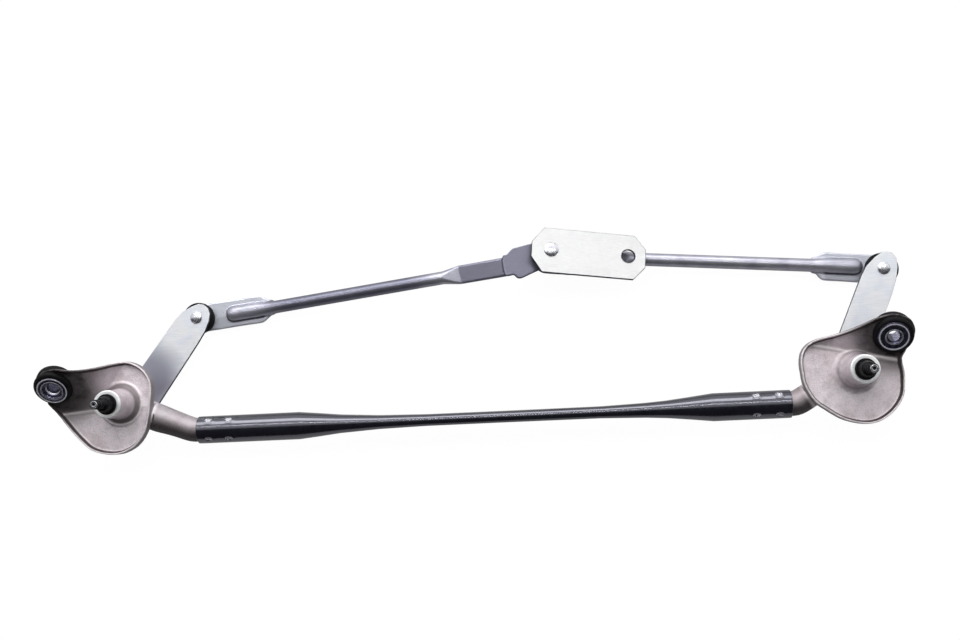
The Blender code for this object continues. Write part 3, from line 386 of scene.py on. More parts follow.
sleeve_steel = make_turned_steel("sleeve_steel", (0.050, 0.050, 0.085), (0.12, 0.12, 0.19), 0.90,
                                 0.18, 0.34, (0.80, 0.80, 0.86))
shaft_steel = make_turned_steel("dark_shaft_steel", (0.003, 0.003, 0.004), (0.010, 0.010, 0.012),
                                0.0, 0.24, 0.44, (0.22, 0.22, 0.24), Specular_IOR_Level=0.15)
stud_steel = make_turned_steel("stud_steel", (0.55, 0.56, 0.62), (0.82, 0.83, 0.87), 0.90, 0.16,
                               0.34, (0.95, 0.95, 0.97))
# Painted highlight: a pale steel for the sleeve's lip and bead rings.
rubbed_steel = make_turned_steel("rubbed_steel", (0.60, 0.60, 0.66), (0.78, 0.78, 0.84), 0.45,
                                 0.26, 0.40, (0.90, 0.90, 0.94))
black_rubber = patterned("black_rubber", (0.014, 0.014, 0.015), 0.0, 0.62, (220.0, 5.0, 0.65),
                         [(0.30, (0.003, 0.003, 0.004)), (0.62, (0.006, 0.006, 0.007)),
                          (0.82, (0.018, 0.016, 0.016))],
                         [(0.30, 0.48), (0.75, 0.78)], 0.00006, (1500.0, 3.0),
                         Specular_IOR_Level=0.16)
socket_plastic = patterned("socket_plastic", (0.030, 0.030, 0.034), 0.0, 0.42, (350.0, 4.0),
                           [(0.30, (0.018, 0.018, 0.021)), (0.75, (0.048, 0.048, 0.053))],
                           [(0.30, 0.34), (0.75, 0.55)], 0.00003, (2400.0, 2.0))
sintered_bronze = patterned("sintered_bronze", (0.40, 0.27, 0.15), 0.85, 0.42, (2400.0, 3.0, 0.7),
                            [(0.36, (0.14, 0.09, 0.05)), (0.46, (0.40, 0.27, 0.15)),
                             (0.75, (0.52, 0.37, 0.21))],
                            [(0.35, 0.62), (0.70, 0.36)], 0.00006)
print("finishes:", len([m for m in bpy.data.materials if m.use_nodes]))

# %% [markdown]
# ## Meshes from rules
# Small builders make the pieces: a turned body from its profile, a skin over a row of rings,
# shells melted into one skin, and a copy of a measured node with its hard edges rounded.

# %% Turned bodies
side_share = 0.42
nearly_straight = 165.0
smallest_ease = 0.02


def rounded_profile(profile, radius, closed):
    """The profile with its corners rounded, as far as the sides allow."""
    count = len(profile)
    made = []
    for i, (r, z) in enumerate(profile):
        if not closed and i in (0, count - 1):
            made.append((r, z))
            continue
        here = Vector((r, z))
        before = Vector(profile[i - 1]) - here
        after = Vector(profile[(i + 1) % count]) - here
        turn = math.degrees(before.angle(after)) if before.length and after.length else 180.0
        reach = min(radius, side_share * before.length, side_share * after.length)
        if turn > nearly_straight or reach < smallest_ease:
            made.append((r, z))
            continue
        start = here + before.normalized() * reach
        end = here + after.normalized() * reach
        for k in range(4):
            t = k / 3
            spot = start * (1 - t) ** 2 + here * 2 * t * (1 - t) + end * t ** 2
            made.append((max(spot.x, 0.0), spot.y))
    return made


def turned(name, profile, place, finish, closed=False, ease=0.25, steps=72):
    """A turned body. The profile lists radius and height in millimetres, down its outer side."""
    points = rounded_profile(profile, ease, closed)
    verts, rows = [], []
    for r, z in points:
        if r < 1e-6:
            rows.append([len(verts)] * steps)
            verts.append((0.0, 0.0, z))
            continue
        rows.append(list(range(len(verts), len(verts) + steps)))
        for k in range(steps):
            angle = 2 * math.pi * k / steps
            verts.append((r * math.cos(angle), r * math.sin(angle), z))
    length = [0.0]
    for first, second in zip(points, points[1:] + points[:1]):
        length.append(length[-1] + math.dist(first, second) * 0.001)
    faces, chart = [], []
    for i in range(len(points) if closed else len(points) - 1):
        upper, lower = rows[i], rows[(i + 1) % len(points)]
        for k in range(steps):
            j = (k + 1) % steps
            corners = [(upper[k], k, i), (lower[k], k, i + 1), (lower[j], k + 1, i + 1),
                       (upper[j], k + 1, i)]
            kept = [c for n, c in enumerate(corners) if c[0] != corners[n - 1][0]]
            if len(kept) > 2:
                faces.append([c[0] for c in kept])
                chart += [(c[1] / steps, length[c[2]]) for c in kept]
    mesh = bpy.data.meshes.new(name)
    mesh.from_pydata([tuple(place @ Vector(v)) for v in verts], [], faces)
    layer = mesh.uv_layers.new(name="turned")
    layer.data.foreach_set("uv", [x for pair in chart for x in pair])
    return as_piece(name, mesh, finish)


def as_piece(name, mesh, finish, angle=34.0):
    """A smooth-shaded piece from a mesh that already lies in its place."""
    made = bpy.data.objects.new(name, mesh)
    bpy.context.scene.collection.objects.link(made)
    mesh.materials.clear()
    mesh.materials.append(finish)
    if angle:
        mesh.shade_smooth()
        mesh.set_sharp_from_angle(angle=math.radians(angle))
    return made


def outward(mesh):
    """Merges doubles and turns every face outwards."""
    shape = bmesh.new()
    shape.from_mesh(mesh)
    bmesh.ops.remove_doubles(shape, verts=shape.verts, dist=0.000001)
    bmesh.ops.recalc_face_normals(shape, faces=shape.faces)
    shape.to_mesh(mesh)
    shape.free()
    return mesh


def evaluated_mesh(made, name):
    """The plain mesh that an object's modifiers give. The object itself is removed."""
    bpy.context.view_layer.update()
    graph = bpy.context.evaluated_depsgraph_get()
    mesh = bpy.data.meshes.new_from_object(made.evaluated_get(graph))
    mesh.name = name
    bpy.data.objects.remove(made, do_unlink=True)
    return mesh


def settle(made, body, slot, *nodes):
    """Hands a finished piece to its body, and lets it stand for its measured nodes."""
    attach(made, body)
    if nodes:
        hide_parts(*nodes)
    print("%s: %d faces on %s" % (made.name, len(made.data.polygons), body))
    return made
# %% Melting, drilling and marking a mesh
def melted(name, shells, place, finish, voxel, rounds):
    """Shells melted into one skin by a voxel remesh and smoothed a few rounds."""
    shape = bmesh.new()
    for mesh in shells:
        shape.from_mesh(mesh)
        bpy.data.meshes.remove(mesh)
    mesh = bpy.data.meshes.new(name + "_shells")
    shape.to_mesh(mesh)
    shape.free()
    made = as_piece(name, moved(mesh, place), finish)
    melt = made.modifiers.new("melt", "REMESH")
    melt.mode = "VOXEL"
    melt.voxel_size = voxel
    soften = made.modifiers.new("soften", "SMOOTH")
    soften.factor = 0.5
    soften.iterations = rounds
    return evaluated_mesh(made, name)


def drilled(name, mesh, finish, place, radius, reach):
    """The mesh with a hole along the Z of a place, cut as far as the reach both ways."""
    made = as_piece(name, mesh, finish)
    drill = turned(name + "_drill", [(0, reach), (radius, reach), (radius, -reach), (0, -reach)],
                   place, finish, ease=0.0)
    step = made.modifiers.new("hole", "BOOLEAN")
    step.operation = "DIFFERENCE"
    step.solver = "EXACT"
    step.object = drill
    mesh = evaluated_mesh(made, name)
    bpy.data.objects.remove(drill, do_unlink=True)
    return mesh


def spots_of(mesh, place):
    """The mesh's points as rows of X, Y and Z in a place's own frame."""
    spots = np.empty(len(mesh.vertices) * 3)
    mesh.vertices.foreach_get("co", spots)
    back = np.array(place.inverted())
    return spots.reshape(-1, 3) @ back[:3, :3].T + back[:3, 3]


def store(mesh, **fields):
    """Stores numbers at the mesh's points, for the finishes to read."""
    for title, values in fields.items():
        made = mesh.attributes.new(title, "FLOAT", "POINT")
        made.data.foreach_set("value", values)

# %% Skins over rows of rings
def skin(name, rings, closed=False):
    """A mesh over rings with equal numbers of points; open rows get a cap at each end."""
    count, total = len(rings[0]), len(rings)
    points = np.array(rings, float).reshape(-1, 3)
    faces = []
    for row in range(total if closed else total - 1):
        here, there = row * count, ((row + 1) % total) * count
        for i in range(count):
            j = (i + 1) % count
            faces.append((here + i, here + j, there + j, there + i))
    if not closed:
        faces.append(tuple(reversed(range(count))))
        faces.append(tuple(range((total - 1) * count, total * count)))
    mesh = bpy.data.meshes.new(name)
    mesh.from_pydata([tuple(p) for p in points], [], faces)
    return outward(mesh)


def moved(mesh, place):
    mesh.transform(place)
    return mesh


def circle(count):
    """Cosine and sine of evenly spaced turns."""
    return [(math.cos(a), math.sin(a)) for a in np.linspace(0, 2 * math.pi, count, endpoint=False)]


# %% Copies of measured nodes with rounded edges
def rounded_copy(node, name, finish, width, upward, share=0.93):
    """A measured node's shape with rounded edges. Faces that lean off upward are cut sides,
    which take a near-black painted shade.
    """
    mesh = frame["nodes"][node].data.copy()
    mesh.name = name
    shape = bmesh.new()
    shape.from_mesh(mesh)
    bmesh.ops.remove_doubles(shape, verts=shape.verts, dist=0.000004)
    bmesh.ops.dissolve_limit(shape, angle_limit=math.radians(0.8), verts=shape.verts,
                             edges=shape.edges)
    shape.to_mesh(mesh)
    shape.free()
    made = as_piece(name, mesh, finish)
    step = made.modifiers.new("rounded edges", "BEVEL")
    step.limit_method = "ANGLE"
    step.angle_limit = math.radians(38.0)
    step.width = width * 0.001
    step.segments = 3
    step.use_clamp_overlap = True
    made.modifiers.new("even shading", "WEIGHTED_NORMAL").weight = 100
    mesh = evaluated_mesh(made, name)
    made = as_piece(name, mesh, finish, None)
    mesh.materials.append(sheared_edge)
    cut = [face for face in mesh.polygons if abs(face.normal.dot(upward)) < share]
    for face in cut:
        face.material_index = 1
    print("%s: %d cut faces" % (name, len(cut)))
    return made


print("builders ready")

# %% [markdown]
# ## The pivot housings
# Each housing is one casting: a dished web with a raised rim and a skirt, an ear that folds up to
# carry the rubber mount, a bearing boss round the shaft, and a spigot for the tube. The pieces are
# drawn as overlapping shells. A voxel remesh then melts them into one skin, which gives the soft
# fillets that a mould gives at every inner corner.

# %% Sizes of the housings, in millimetres from the shaft
floor_z = 14.0
floor_thickness = 3.5
rim_height = 5.5
rim_wall = 2.2
skirt_depth = 5.0
bore_radius = 9.8
boss_radius = 12.9
boss_top = 45.2
boss_bottom = -20.0
seat_clear = 19.0
ear_hole = 11.2
web_points = 260
casting_voxel = 0.0007
casting_rounds = 5
left_outline = [
    (4.0, 38.9), (10.5, 38.0), (16.2, 35.7), (21.2, 32.4), (24.9, 28.7), (29.4, 20.6),
    (30.6, 11.4), (29.4, 0.5), (27.6, -12.6), (23.8, -26.6), (15.4, -38.2), (3.6, -44.8),
    (-7.0, -46.3), (-16.4, -45.2), (-24.7, -42.5), (-32.0, -38.0), (-43.9, -25.6),
    (-52.2, -15.2), (-56.6, -9.0), (-60.0, -3.4), (-64.0, 3.4), (-67.2, 10.2),
    (-67.9, 18.0), (-66.4, 25.4), (-61.2, 31.2), (-53.6, 33.4), (-45.3, 33.8),
    (-38.0, 32.5), (-26.3, 32.2), (-15.3, 34.2), (-5.8, 37.0),
]
right_outline = [
    (-18.7, 31.4), (-25.7, 30.0), (-34.0, 28.0), (-41.7, 23.9), (-46.6, 17.0),
    (-48.3, 8.5), (-47.8, 0.0), (-46.1, -11.2), (-40.4, -22.8), (-35.0, -29.0),
    (-28.3, -33.9), (-22.1, -38.3), (-15.4, -42.3), (-8.0, -45.1), (0.0, -47.0),
    (8.4, -47.5), (16.6, -45.7), (24.0, -41.6), (30.3, -36.2), (35.4, -29.7),
    (38.8, -22.4), (39.9, -14.5), (40.2, -4.0), (38.4, 7.0), (39.6, 11.6), (42.0, 14.6),
    (47.2, 24.1), (48.6, 32.0), (44.4, 40.4), (37.0, 44.8), (28.0, 46.4), (16.5, 44.0),
    (4.8, 39.2), (-6.6, 34.9),
]
left_ear = ((-56.4, -8.1), (-20.2, -5.1), 38.0)
left_blend = ((-20.2, -5.1), (0.7, 34.9), 52.0)
right_ear = ((-34.9, 22.2), (37.0, 6.4), 30.0)
left_seat = (-54.0, 18.3)
right_seat = (30.2, 29.4)


# %% The folded web
def fold(line):
    """A plane that rises on one side of a line: its start, its direction uphill, its slope."""
    start, end = Vector(line[0]), Vector(line[1])
    along = (end - start).normalized()
    return start, Vector((-along.y, along.x)), math.tan(math.radians(line[2]))


def softer(first, second, ease, sign):
    """The larger (sign 1) or smaller (sign -1) of two heights, with a rounded crease."""
    return 0.5 * (first + second + sign * math.sqrt((first - second) ** 2 + ease ** 2))


def web_height(folds, x, y):
    """Height of the web's upper face over a plan point."""
    rise, bead = None, 0.0
    for start, uphill, slope in folds:
        here = (Vector((x, y)) - start).dot(uphill) * slope
        if rise is None:
            bead = math.exp(-(here / (1.3 * slope)) ** 2)
        rise = here if rise is None else softer(rise, here, 1.6, -1)
    bead *= min(1.0, max(0.0, (rise + 1.5) / 1.5))
    return floor_z + softer(0.0, rise, 0.9, 1) + bead


def ear_plane(folds, seat):
    """The seat's point on the ear and the ear's own upward direction."""
    start, uphill, slope = folds[0]
    height = floor_z + (Vector(seat) - start).dot(uphill) * slope
    return Vector((*seat, height)), Vector((-uphill.x * slope, -uphill.y * slope, 1.0)).normalized()


left_folds = [fold(left_ear), fold(left_blend)]
right_folds = [fold(right_ear)]
left_seat_point, left_ear_up = ear_plane(left_folds, left_seat)
right_seat_point, right_ear_up = ear_plane(right_folds, right_seat)
print("ears lean %.0f and %.0f degrees" % (left_ear[2], right_ear[2]))


# %% Outlines as smooth loops
def smooth_loop(points, count):
    """Evenly spaced points on a smooth closed curve through the outline."""
    pts = np.array(points, float)
    dense = []
    for i in range(len(pts)):
        a, b, c, d = (pts[(i + k - 1) % len(pts)] for k in range(4))
        for t in np.linspace(0, 1, 12, endpoint=False):
            dense.append(0.5 * (2 * b + (c - a) * t + (2 * a - 5 * b + 4 * c - d) * t * t
                                + (3 * b - a - 3 * c + d) * t ** 3))
    dense = np.array(dense)
    steps = np.linalg.norm(np.roll(dense, -1, 0) - dense, axis=1)
    reach = np.concatenate([[0.0], np.cumsum(steps)])
    closed = np.vstack([dense, dense[:1]])
    spots = np.linspace(0, reach[-1], count, endpoint=False)
    return np.column_stack([np.interp(spots, reach, closed[:, k]) for k in range(2)])


def inset(loop, distance):
    """A closed loop moved inwards by a distance."""
    ahead, behind = np.roll(loop, -1, 0), np.roll(loop, 1, 0)
    along = ahead - behind
    along /= np.linalg.norm(along, axis=1)[:, None]
    area = np.sum(loop[:, 0] * ahead[:, 1] - ahead[:, 0] * loop[:, 1])
    inward = np.column_stack([-along[:, 1], along[:, 0]]) * (1 if area > 0 else -1)
    return loop + inward * distance


# %% The dished web with rim and skirt
def web_shell(name, outline, folds, seat, up):
    """The web as a closed skin: out over the top, over the rim, and back under the web."""
    outer = smooth_loop(outline, web_points)
    inner, foot = inset(outer, rim_wall), inset(outer, rim_wall + 1.6)
    hub = outer / np.linalg.norm(outer, axis=1)[:, None] * (bore_radius + 1.2)
    clear = []
    for x, y in outer:
        away = Vector((x, y, web_height(folds, x, y))) - seat
        side = (away - up * away.dot(up)).length
        share = min(1.0, max(0.0, (side - seat_clear) / 3.0))
        clear.append(share * share * (3 - 2 * share))
    clear = np.array(clear)
    low = -floor_thickness * (0.85 + 0.15 * up.z)
    layers = [(hub * (1 - t) + foot * t, 0.0, 0.0) for t in np.linspace(0.0, 1.0, 22)]
    for distance, free, seated in (
            (rim_wall, 0.9, 0.0), (rim_wall - 0.25, rim_height - 0.4, 0.0),
            (rim_wall / 2, rim_height, 0.0), (0.35, rim_height - 0.3, 0.0),
            (0.0, -skirt_depth, 0.7 * low), (0.35, -skirt_depth, low),
            (rim_wall - 0.3, -skirt_depth, low)):
        layers.append((inset(outer, distance), free, seated))
    for t in np.linspace(1.0, 0.0, 14):
        layers.append((hub * (1 - t) + inner * t, -floor_thickness, -floor_thickness))
    rings = []
    for plan, free, seated in layers:
        lift = free * clear + seated * (1 - clear)
        rings.append([(x, y, web_height(folds, x, y) + z) for (x, y), z in zip(plan, lift)])
    return skin(name, rings, closed=True)


# %% Boss, spigot and under-ribs
def boss_shell(name, flare):
    """The bearing boss round its bore, with a foot that the flare widens."""
    outside = [(bore_radius, boss_top), (boss_radius - 0.3, boss_top),
               (boss_radius + 0.4, 19.0 + flare / 2), (boss_radius + 1.6, 17.2 + flare / 2),
               (boss_radius + 3.6 + flare / 3, 15.2),
               (boss_radius + 6.6 + flare / 2, floor_z - 0.4),
               (boss_radius + 6.0, floor_z - 3.0), (boss_radius + 0.4, 7.5),
               (boss_radius - 0.6, boss_bottom), (bore_radius, boss_bottom)]
    rings = [[(r * c, r * s, z) for c, s in circle(96)]
             for r, z in rounded_profile(outside, 0.7, True)]
    return skin(name, rings, closed=True)


def collar_ring(name, radius, bead=0.95):
    """A raised line round the foot of the boss, where the mould's core pin met the web."""
    rings = [[((radius + bead * b) * c, (radius + bead * b) * s, floor_z + 0.1 + bead * d)
              for b, d in circle(10)] for c, s in circle(120)]
    return skin(name, rings, closed=True)


def round_bar(name, path, radii):
    """A round bar along a path that stays in one upright plane or nearly so."""
    path = [Vector(p) for p in path]
    rings = []
    for i, (centre, radius) in enumerate(zip(path, radii)):
        along = (path[min(i + 1, len(path) - 1)] - path[max(i - 1, 0)]).normalized()
        side = along.cross(Vector((0, 0, 1))).normalized()
        over = side.cross(along)
        rings.append([tuple(centre + side * radius * c + over * radius * s)
                      for c, s in circle(40)])
    return skin(name, rings)


def finer(path, count):
    """More points on a smooth line through a path whose rows also hold a radius."""
    rows = np.array(path, float)
    steps = np.linalg.norm(np.diff(rows[:, :3], axis=0), axis=1)
    reach = np.concatenate([[0.0], np.cumsum(steps)])
    spots = np.linspace(0, reach[-1], count)
    made = np.column_stack([np.interp(spots, reach, rows[:, k]) for k in range(rows.shape[1])])
    for _ in range(3):
        made[1:-1] = 0.25 * made[:-2] + 0.5 * made[1:-1] + 0.25 * made[2:]
    return made


def under_rib(name, angle, reach, folds):
    """A stiffening rib under the web, from the boss to the skirt."""
    turn = math.radians(angle)
    ahead = np.array([math.cos(turn), math.sin(turn)])
    side = np.array([-ahead[1], ahead[0]])
    rings = []
    for r in np.linspace(boss_radius - 1.0, reach, 12):
        top = []
        for w, drop in ((1.3, 2.0), (1.3, 4.4), (-1.3, 4.4), (-1.3, 2.0)):
            x, y = ahead * r + side * w
            top.append((x, y, web_height(folds, x, y) - drop))
        rings.append(top)
    return skin(name, rings)


# %% Painted shade in the corners of a casting
def between(value, low, high, soft=0.35):
    """1 where a value lies between two limits, with soft ends."""
    rise = np.clip((value - low) / soft + 0.5, 0, 1)
    fall = np.clip((high - value) / soft + 0.5, 0, 1)
    return rise * fall


def lay_grime(mesh, place, outline, folds, rows, foot, foot_dirt):
    """Stores painted shade inside the rim, on the skirt, round the boss and under the spigot,
    and a painted highlight along the fold.
    """
    spots = spots_of(mesh, place)
    plan, height = spots[:, :2], spots[:, 2]
    loop = smooth_loop(outline, web_points)
    away = np.full(len(spots), 99.0)
    for start, end in zip(loop, np.roll(loop, -1, 0)):
        side = end - start
        share = np.clip(((plan - start) @ side) / (side @ side), 0, 1)
        away = np.minimum(away, np.hypot(*(plan - start - share[:, None] * side).T))
    over = np.full(len(spots), 99.0)
    for i in np.flatnonzero(away < 6.0):
        over[i] = height[i] - web_height(folds, *plan[i])
    in_rim = between(away, 1.5, 3.3) * between(over, -0.6, rim_height - 0.8)
    on_skirt = 0.65 * between(away, -1.0, 0.6) * between(over, -9.0, rim_height - 1.6)
    reach = np.hypot(*plan.T)
    at_foot = foot_dirt * between(reach, boss_radius + 0.2, foot, 1.5)
    at_foot *= between(height, floor_z - 0.8, floor_z + 4.0, 2.0)
    axis_away = np.linalg.norm(spots[:, None] - rows[None, :, :3], axis=2)
    nearest = np.argmin(axis_away, 1)
    radius = rows[nearest, 3]
    hanging = (rows[nearest, 1] - plan[:, 1]) / radius
    on_bar = between(np.min(axis_away, 1), 0.0, radius + 1.0)
    leaving = np.argmin([np.min(np.hypot(*(loop - row[:2]).T)) for row in rows])
    on_bar *= between(reach, math.hypot(*rows[leaving, :2]) + 2.0, 200.0, 3.0)
    on_bar *= 0.52 + 0.44 * between(hanging, 0.0, 3.0, 0.7)
    # Painted shade: the darkest of rim corner, skirt, boss foot and spigot underside.
    grime = np.max([in_rim, on_skirt, at_foot, on_bar], axis=0)
    # Painted highlight along the ear's fold line, away from the boss and the rim.
    start, uphill, _ = folds[0]
    across = np.abs((plan - np.array(start)) @ np.array(uphill))
    crest = np.exp(-(across / 1.5) ** 2) * between(height, floor_z - 0.6, floor_z + 3.0, 1.0)
    crest *= between(reach, boss_radius + 4.0, 90.0, 3.0) * (away > 2.4)
    store(mesh, grime=grime, crest=crest)
    print("grimy points:", int((grime > 0.5).sum()))


# %% One casting from its shells
def casting(side, pivot_x, outline, folds, seat, up, flare, collar, path, ribs):
    """Melts the shells into one soft-cornered skin, drills the ear, and lays its painted
    shade and painted highlight.
    """
    shells = [web_shell(side + "_web", outline, folds, seat, up), boss_shell(side + "_boss", flare)]
    if collar:
        shells.append(collar_ring(side + "_collar", collar))
    rows = finer(path, 34)
    shells.append(round_bar(side + "_spigot", rows[:, :3], rows[:, 3]))
    for number, (angle, reach) in enumerate(ribs):
        shells.append(under_rib("%s_rib_%d" % (side, number), angle, reach, folds))
    name = side + "_housing_casting"
    pivot = Vector((pivot_x, 0, 0))
    place = to_world @ Matrix.Translation(pivot)
    mesh = melted(name, shells, place, cast_aluminium, casting_voxel, casting_rounds)
    mesh = drilled(name, mesh, cast_aluminium, standing(pivot + seat, up), ear_hole, 20)
    # How far out and how dark the painted shade round the boss foot reaches.
    foot, foot_dirt = (collar - 1.0, 0.75) if collar else (17.0, 0.35)
    lay_grime(mesh, place, outline, folds, rows, foot, foot_dirt)
    made = as_piece(name, mesh, cast_aluminium, 60.0)
    return settle(made, "frame", "cast_aluminium", side + "_pivot_housing")


left_path = [(10.0, -4.6, 1.5, 12.0), (21.5, -10.6, 1.5, 12.7), (31.1, -14.8, 1.0, 13.0),
             (40.5, -18.2, 0.5, 12.1), (49.9, -21.8, 0.2, 11.5), (58.0, -25.2, 0.0, 11.3),
             (64.5, -27.3, 0.0, 11.3), (67.9, -27.3, 0.0, 11.3), (68.2, -27.3, 0.0, 10.6),
             (82.0, -27.3, 0.0, 10.6), (95.5, -27.3, 0.0, 10.6)]
right_path = [(-10.0, -4.7, 1.5, 11.3), (-21.5, -10.5, 1.5, 11.3), (-29.5, -15.0, 1.2, 11.3),
              (-36.3, -18.9, 0.8, 11.3), (-42.5, -22.6, 0.4, 11.3), (-47.0, -25.4, 0.1, 11.3),
              (-51.5, -27.3, 0.0, 11.3), (-54.9, -27.3, 0.0, 11.3), (-55.2, -27.3, 0.0, 10.6),
              (-69.0, -27.3, 0.0, 10.6), (-82.5, -27.3, 0.0, 10.6)]
casting("left", -half_span, left_outline, left_folds, left_seat_point, left_ear_up, 0.0, 19.4,
        left_path, [(150, 40), (205, 44), (262, 42), (48, 36)])
casting("right", half_span, right_outline, right_folds, right_seat_point, right_ear_up, 4.0, 0.0,
        right_path, [(60, 38), (150, 40), (250, 40), (330, 34)])

# %% [markdown]
# ## Rubber mounts
# A grommet clamps each ear between two soft discs, and a flanged steel sleeve keeps the bolt from
# crushing it. Both are turned bodies that lean with the ear.

# %% Grommets and sleeves
fit_gap = 0.3
ear_spot = 0.2
grommet_radius = 17.3
grommet_front = 5.0
grommet_back = 8.0


def rubber_mount(side, pivot_x, seat, up, lip, bead):
    """The grommet and its sleeve on one ear."""
    place = standing(Vector((pivot_x, 0, 0)) + seat - up * ear_spot, up)
    thick = floor_thickness * up.z - 2 * ear_spot
    top = grommet_front + fit_gap
    bottom = -thick - fit_gap - grommet_back
    edge = grommet_radius
    rubber = [
        (7.6, top), (10.6, top), (11.0, top - 0.3), (edge - 2.2, top), (edge - 0.5, top - 1.0),
        (edge, top - 2.6), (edge - 0.2, 0.9), (edge - 0.9, fit_gap), (10.9, fit_gap),
        (10.9, -thick - fit_gap), (edge - 0.9, -thick - fit_gap), (edge, -thick - 1.4),
        (edge, bottom + 2.4), (edge - 1.6, bottom), (7.6, bottom),
    ]
    grommet = turned(side + "_rubber_grommet", rubber, place, black_rubber, True, 0.6, 96)
    settle(grommet, "frame", "black_rubber", side + "_grommet")
    under = top + fit_gap
    high = under + 1.2
    steel = [
        (5.6, high - 4.6), (lip - 1.6, high - 2.2), (lip - 0.4, high - 0.2), (lip + 0.3, high),
        (lip + 1.2, high - 0.35), (bead - 1.2, high - 0.55), (bead - 0.55, high - 0.1),
        (bead, high - 0.15), (bead + 0.4, high - 0.3), (13.6, high - 0.7), (13.6, under),
        (7.3, under), (7.3, bottom - 0.5), (5.6, bottom - 0.5),
    ]
    sleeve = turned(side + "_flanged_sleeve", steel, place, sleeve_steel, True, 0.22, 96)
    settle(sleeve, "frame", "sleeve_steel", side + "_sleeve")
    # The lip and the bead are pale rings over the dark sleeve: a painted highlight of its rim.
    rolled = [(lip + 0.75, high), (lip - 0.3, high - 0.15), (lip - 1.5, high - 2.1),
              (5.75, high - 4.4), (5.65, high - 4.9), (lip - 1.3, high - 2.9),
              (lip + 0.7, high - 0.4)]
    rim = turned(side + "_sleeve_lip", rolled, place, rubbed_steel, True, 0.15, 96)
    settle(rim, "frame", "sleeve_steel")
    edge = [(bead + 0.42, high - 0.1), (bead, high), (bead - 0.75, high - 0.15),
            (bead - 0.65, high - 0.6), (bead + 0.3, high - 0.5)]
    ring = turned(side + "_sleeve_bead", edge, place, rubbed_steel, True, 0.1, 96)
    settle(ring, "frame", "sleeve_steel")


rubber_mount("left", -half_span, left_seat_point, left_ear_up, 9.2, 13.1)
rubber_mount("right", half_span, right_seat_point, right_ear_up, 6.6, 12.2)

# %% [markdown]
# ## Wiper shafts
# Each shaft ends in a serrated cone that grips the wiper arm, and an M8 thread for its nut. The
# serrations and the thread repeat, so Geometry Nodes make them: one tree turns a ridge round the
# cone, the other sweeps a small square along a spiral.

# %% Geometry Nodes helpers
def tree_inputs(tree, inputs):
    """Named inputs with their values. Gives their sockets inside the tree, by name."""
    for name, value in inputs.items():
        kind = "NodeSocketInt" if isinstance(value, int) else "NodeSocketFloat"
        made = tree.interface.new_socket(name=name, in_out="INPUT", socket_type=kind)
        made.default_value = value
    tree.interface.new_socket(name="Geometry", in_out="OUTPUT", socket_type="NodeSocketGeometry")
    group_in = tree.nodes.new("NodeGroupInput")
    return {name: group_in.outputs[name] for name in inputs}


def swept(tree, curve, size):
    """A four-sided profile of a size swept along a curve, with closed ends."""
    profile = add(tree, "GeometryNodeCurvePrimitiveCircle", Resolution=4, Radius=size)
    return add(tree, "GeometryNodeCurveToMesh", Curve=curve, Profile_Curve=profile.outputs["Curve"],
               Fill_Caps=True).outputs["Mesh"]


def close_tree(tree, geometry, finish):
    """Ends a tree in Realize Instances and Set Material."""
    real = add(tree, "GeometryNodeRealizeInstances", Geometry=geometry)
    paint = add(tree, "GeometryNodeSetMaterial", Geometry=real.outputs["Geometry"], Material=finish)
    end = tree.nodes.new("NodeGroupOutput")
    tree.links.new(paint.outputs["Geometry"], end.inputs["Geometry"])
    return tree


def grown(name, tree, place, finish):
    """Runs a tree and gives a plain mesh piece in its place."""
    made = bpy.data.objects.new(name, bpy.data.meshes.new(name))
    bpy.context.scene.collection.objects.link(made)
    made.modifiers.new("grow", "NODES").node_group = tree
    mesh = evaluated_mesh(made, name)
    return as_piece(name, outward(moved(mesh, place)), finish, 30.0)


# %% A ridge turned round a cone
def ridge_tree():
    """Ridges round a cone: each runs from the lower to the upper edge of the cone."""
    tree = bpy.data.node_groups.new("serrated_cone", "GeometryNodeTree")
    given = tree_inputs(tree, {"Ridges": 40, "Lower radius": 7.25, "Upper radius": 5.85,
                               "Lower height": 48.8, "Upper height": 57.0, "Ridge size": 0.42})
    low, high = (add(tree, "ShaderNodeCombineXYZ", X=given[end + " radius"],
                     Z=given[end + " height"]).outputs[0] for end in ("Lower", "Upper"))
    line = add(tree, "GeometryNodeCurvePrimitiveLine", Start=low, End=high)
    ridge = swept(tree, line.outputs["Curve"], given["Ridge size"])
    spots = add(tree, "GeometryNodePoints", Count=given["Ridges"])
    index = tree.nodes.new("GeometryNodeInputIndex").outputs["Index"]
    angle = maths(tree, "MULTIPLY", index, maths(tree, "DIVIDE", math.tau, given["Ridges"]))
    turn = add(tree, "ShaderNodeCombineXYZ", Z=angle)
    copies = add(tree, "GeometryNodeInstanceOnPoints", Points=spots.outputs[0], Instance=ridge,
                 Rotation=turn.outputs[0])
    return close_tree(tree, copies.outputs["Instances"], shaft_steel)


# %% A thread swept along a spiral
def thread_tree():
    """A thread: a square profile swept along a spiral of given radius, turns and length."""
    tree = bpy.data.node_groups.new("swept_thread", "GeometryNodeTree")
    given = tree_inputs(tree, {"Radius": 3.7, "Turns": 12.5, "Length": 15.4, "Start height": 58.2,
                               "Tooth size": 0.62})
    spiral = add(tree, "GeometryNodeCurveSpiral", Resolution=40, Rotations=given["Turns"],
                 Height=given["Length"], Start_Radius=given["Radius"], End_Radius=given["Radius"])
    tooth = swept(tree, spiral.outputs["Curve"], given["Tooth size"])
    lift = add(tree, "ShaderNodeCombineXYZ", Z=given["Start height"])
    raised = add(tree, "GeometryNodeTransform", Geometry=tooth, Translation=lift.outputs[0])
    return close_tree(tree, raised.outputs["Geometry"], shaft_steel)


serrated_cone = ridge_tree()
swept_thread = thread_tree()
print("trees:", serrated_cone.name, swept_thread.name)

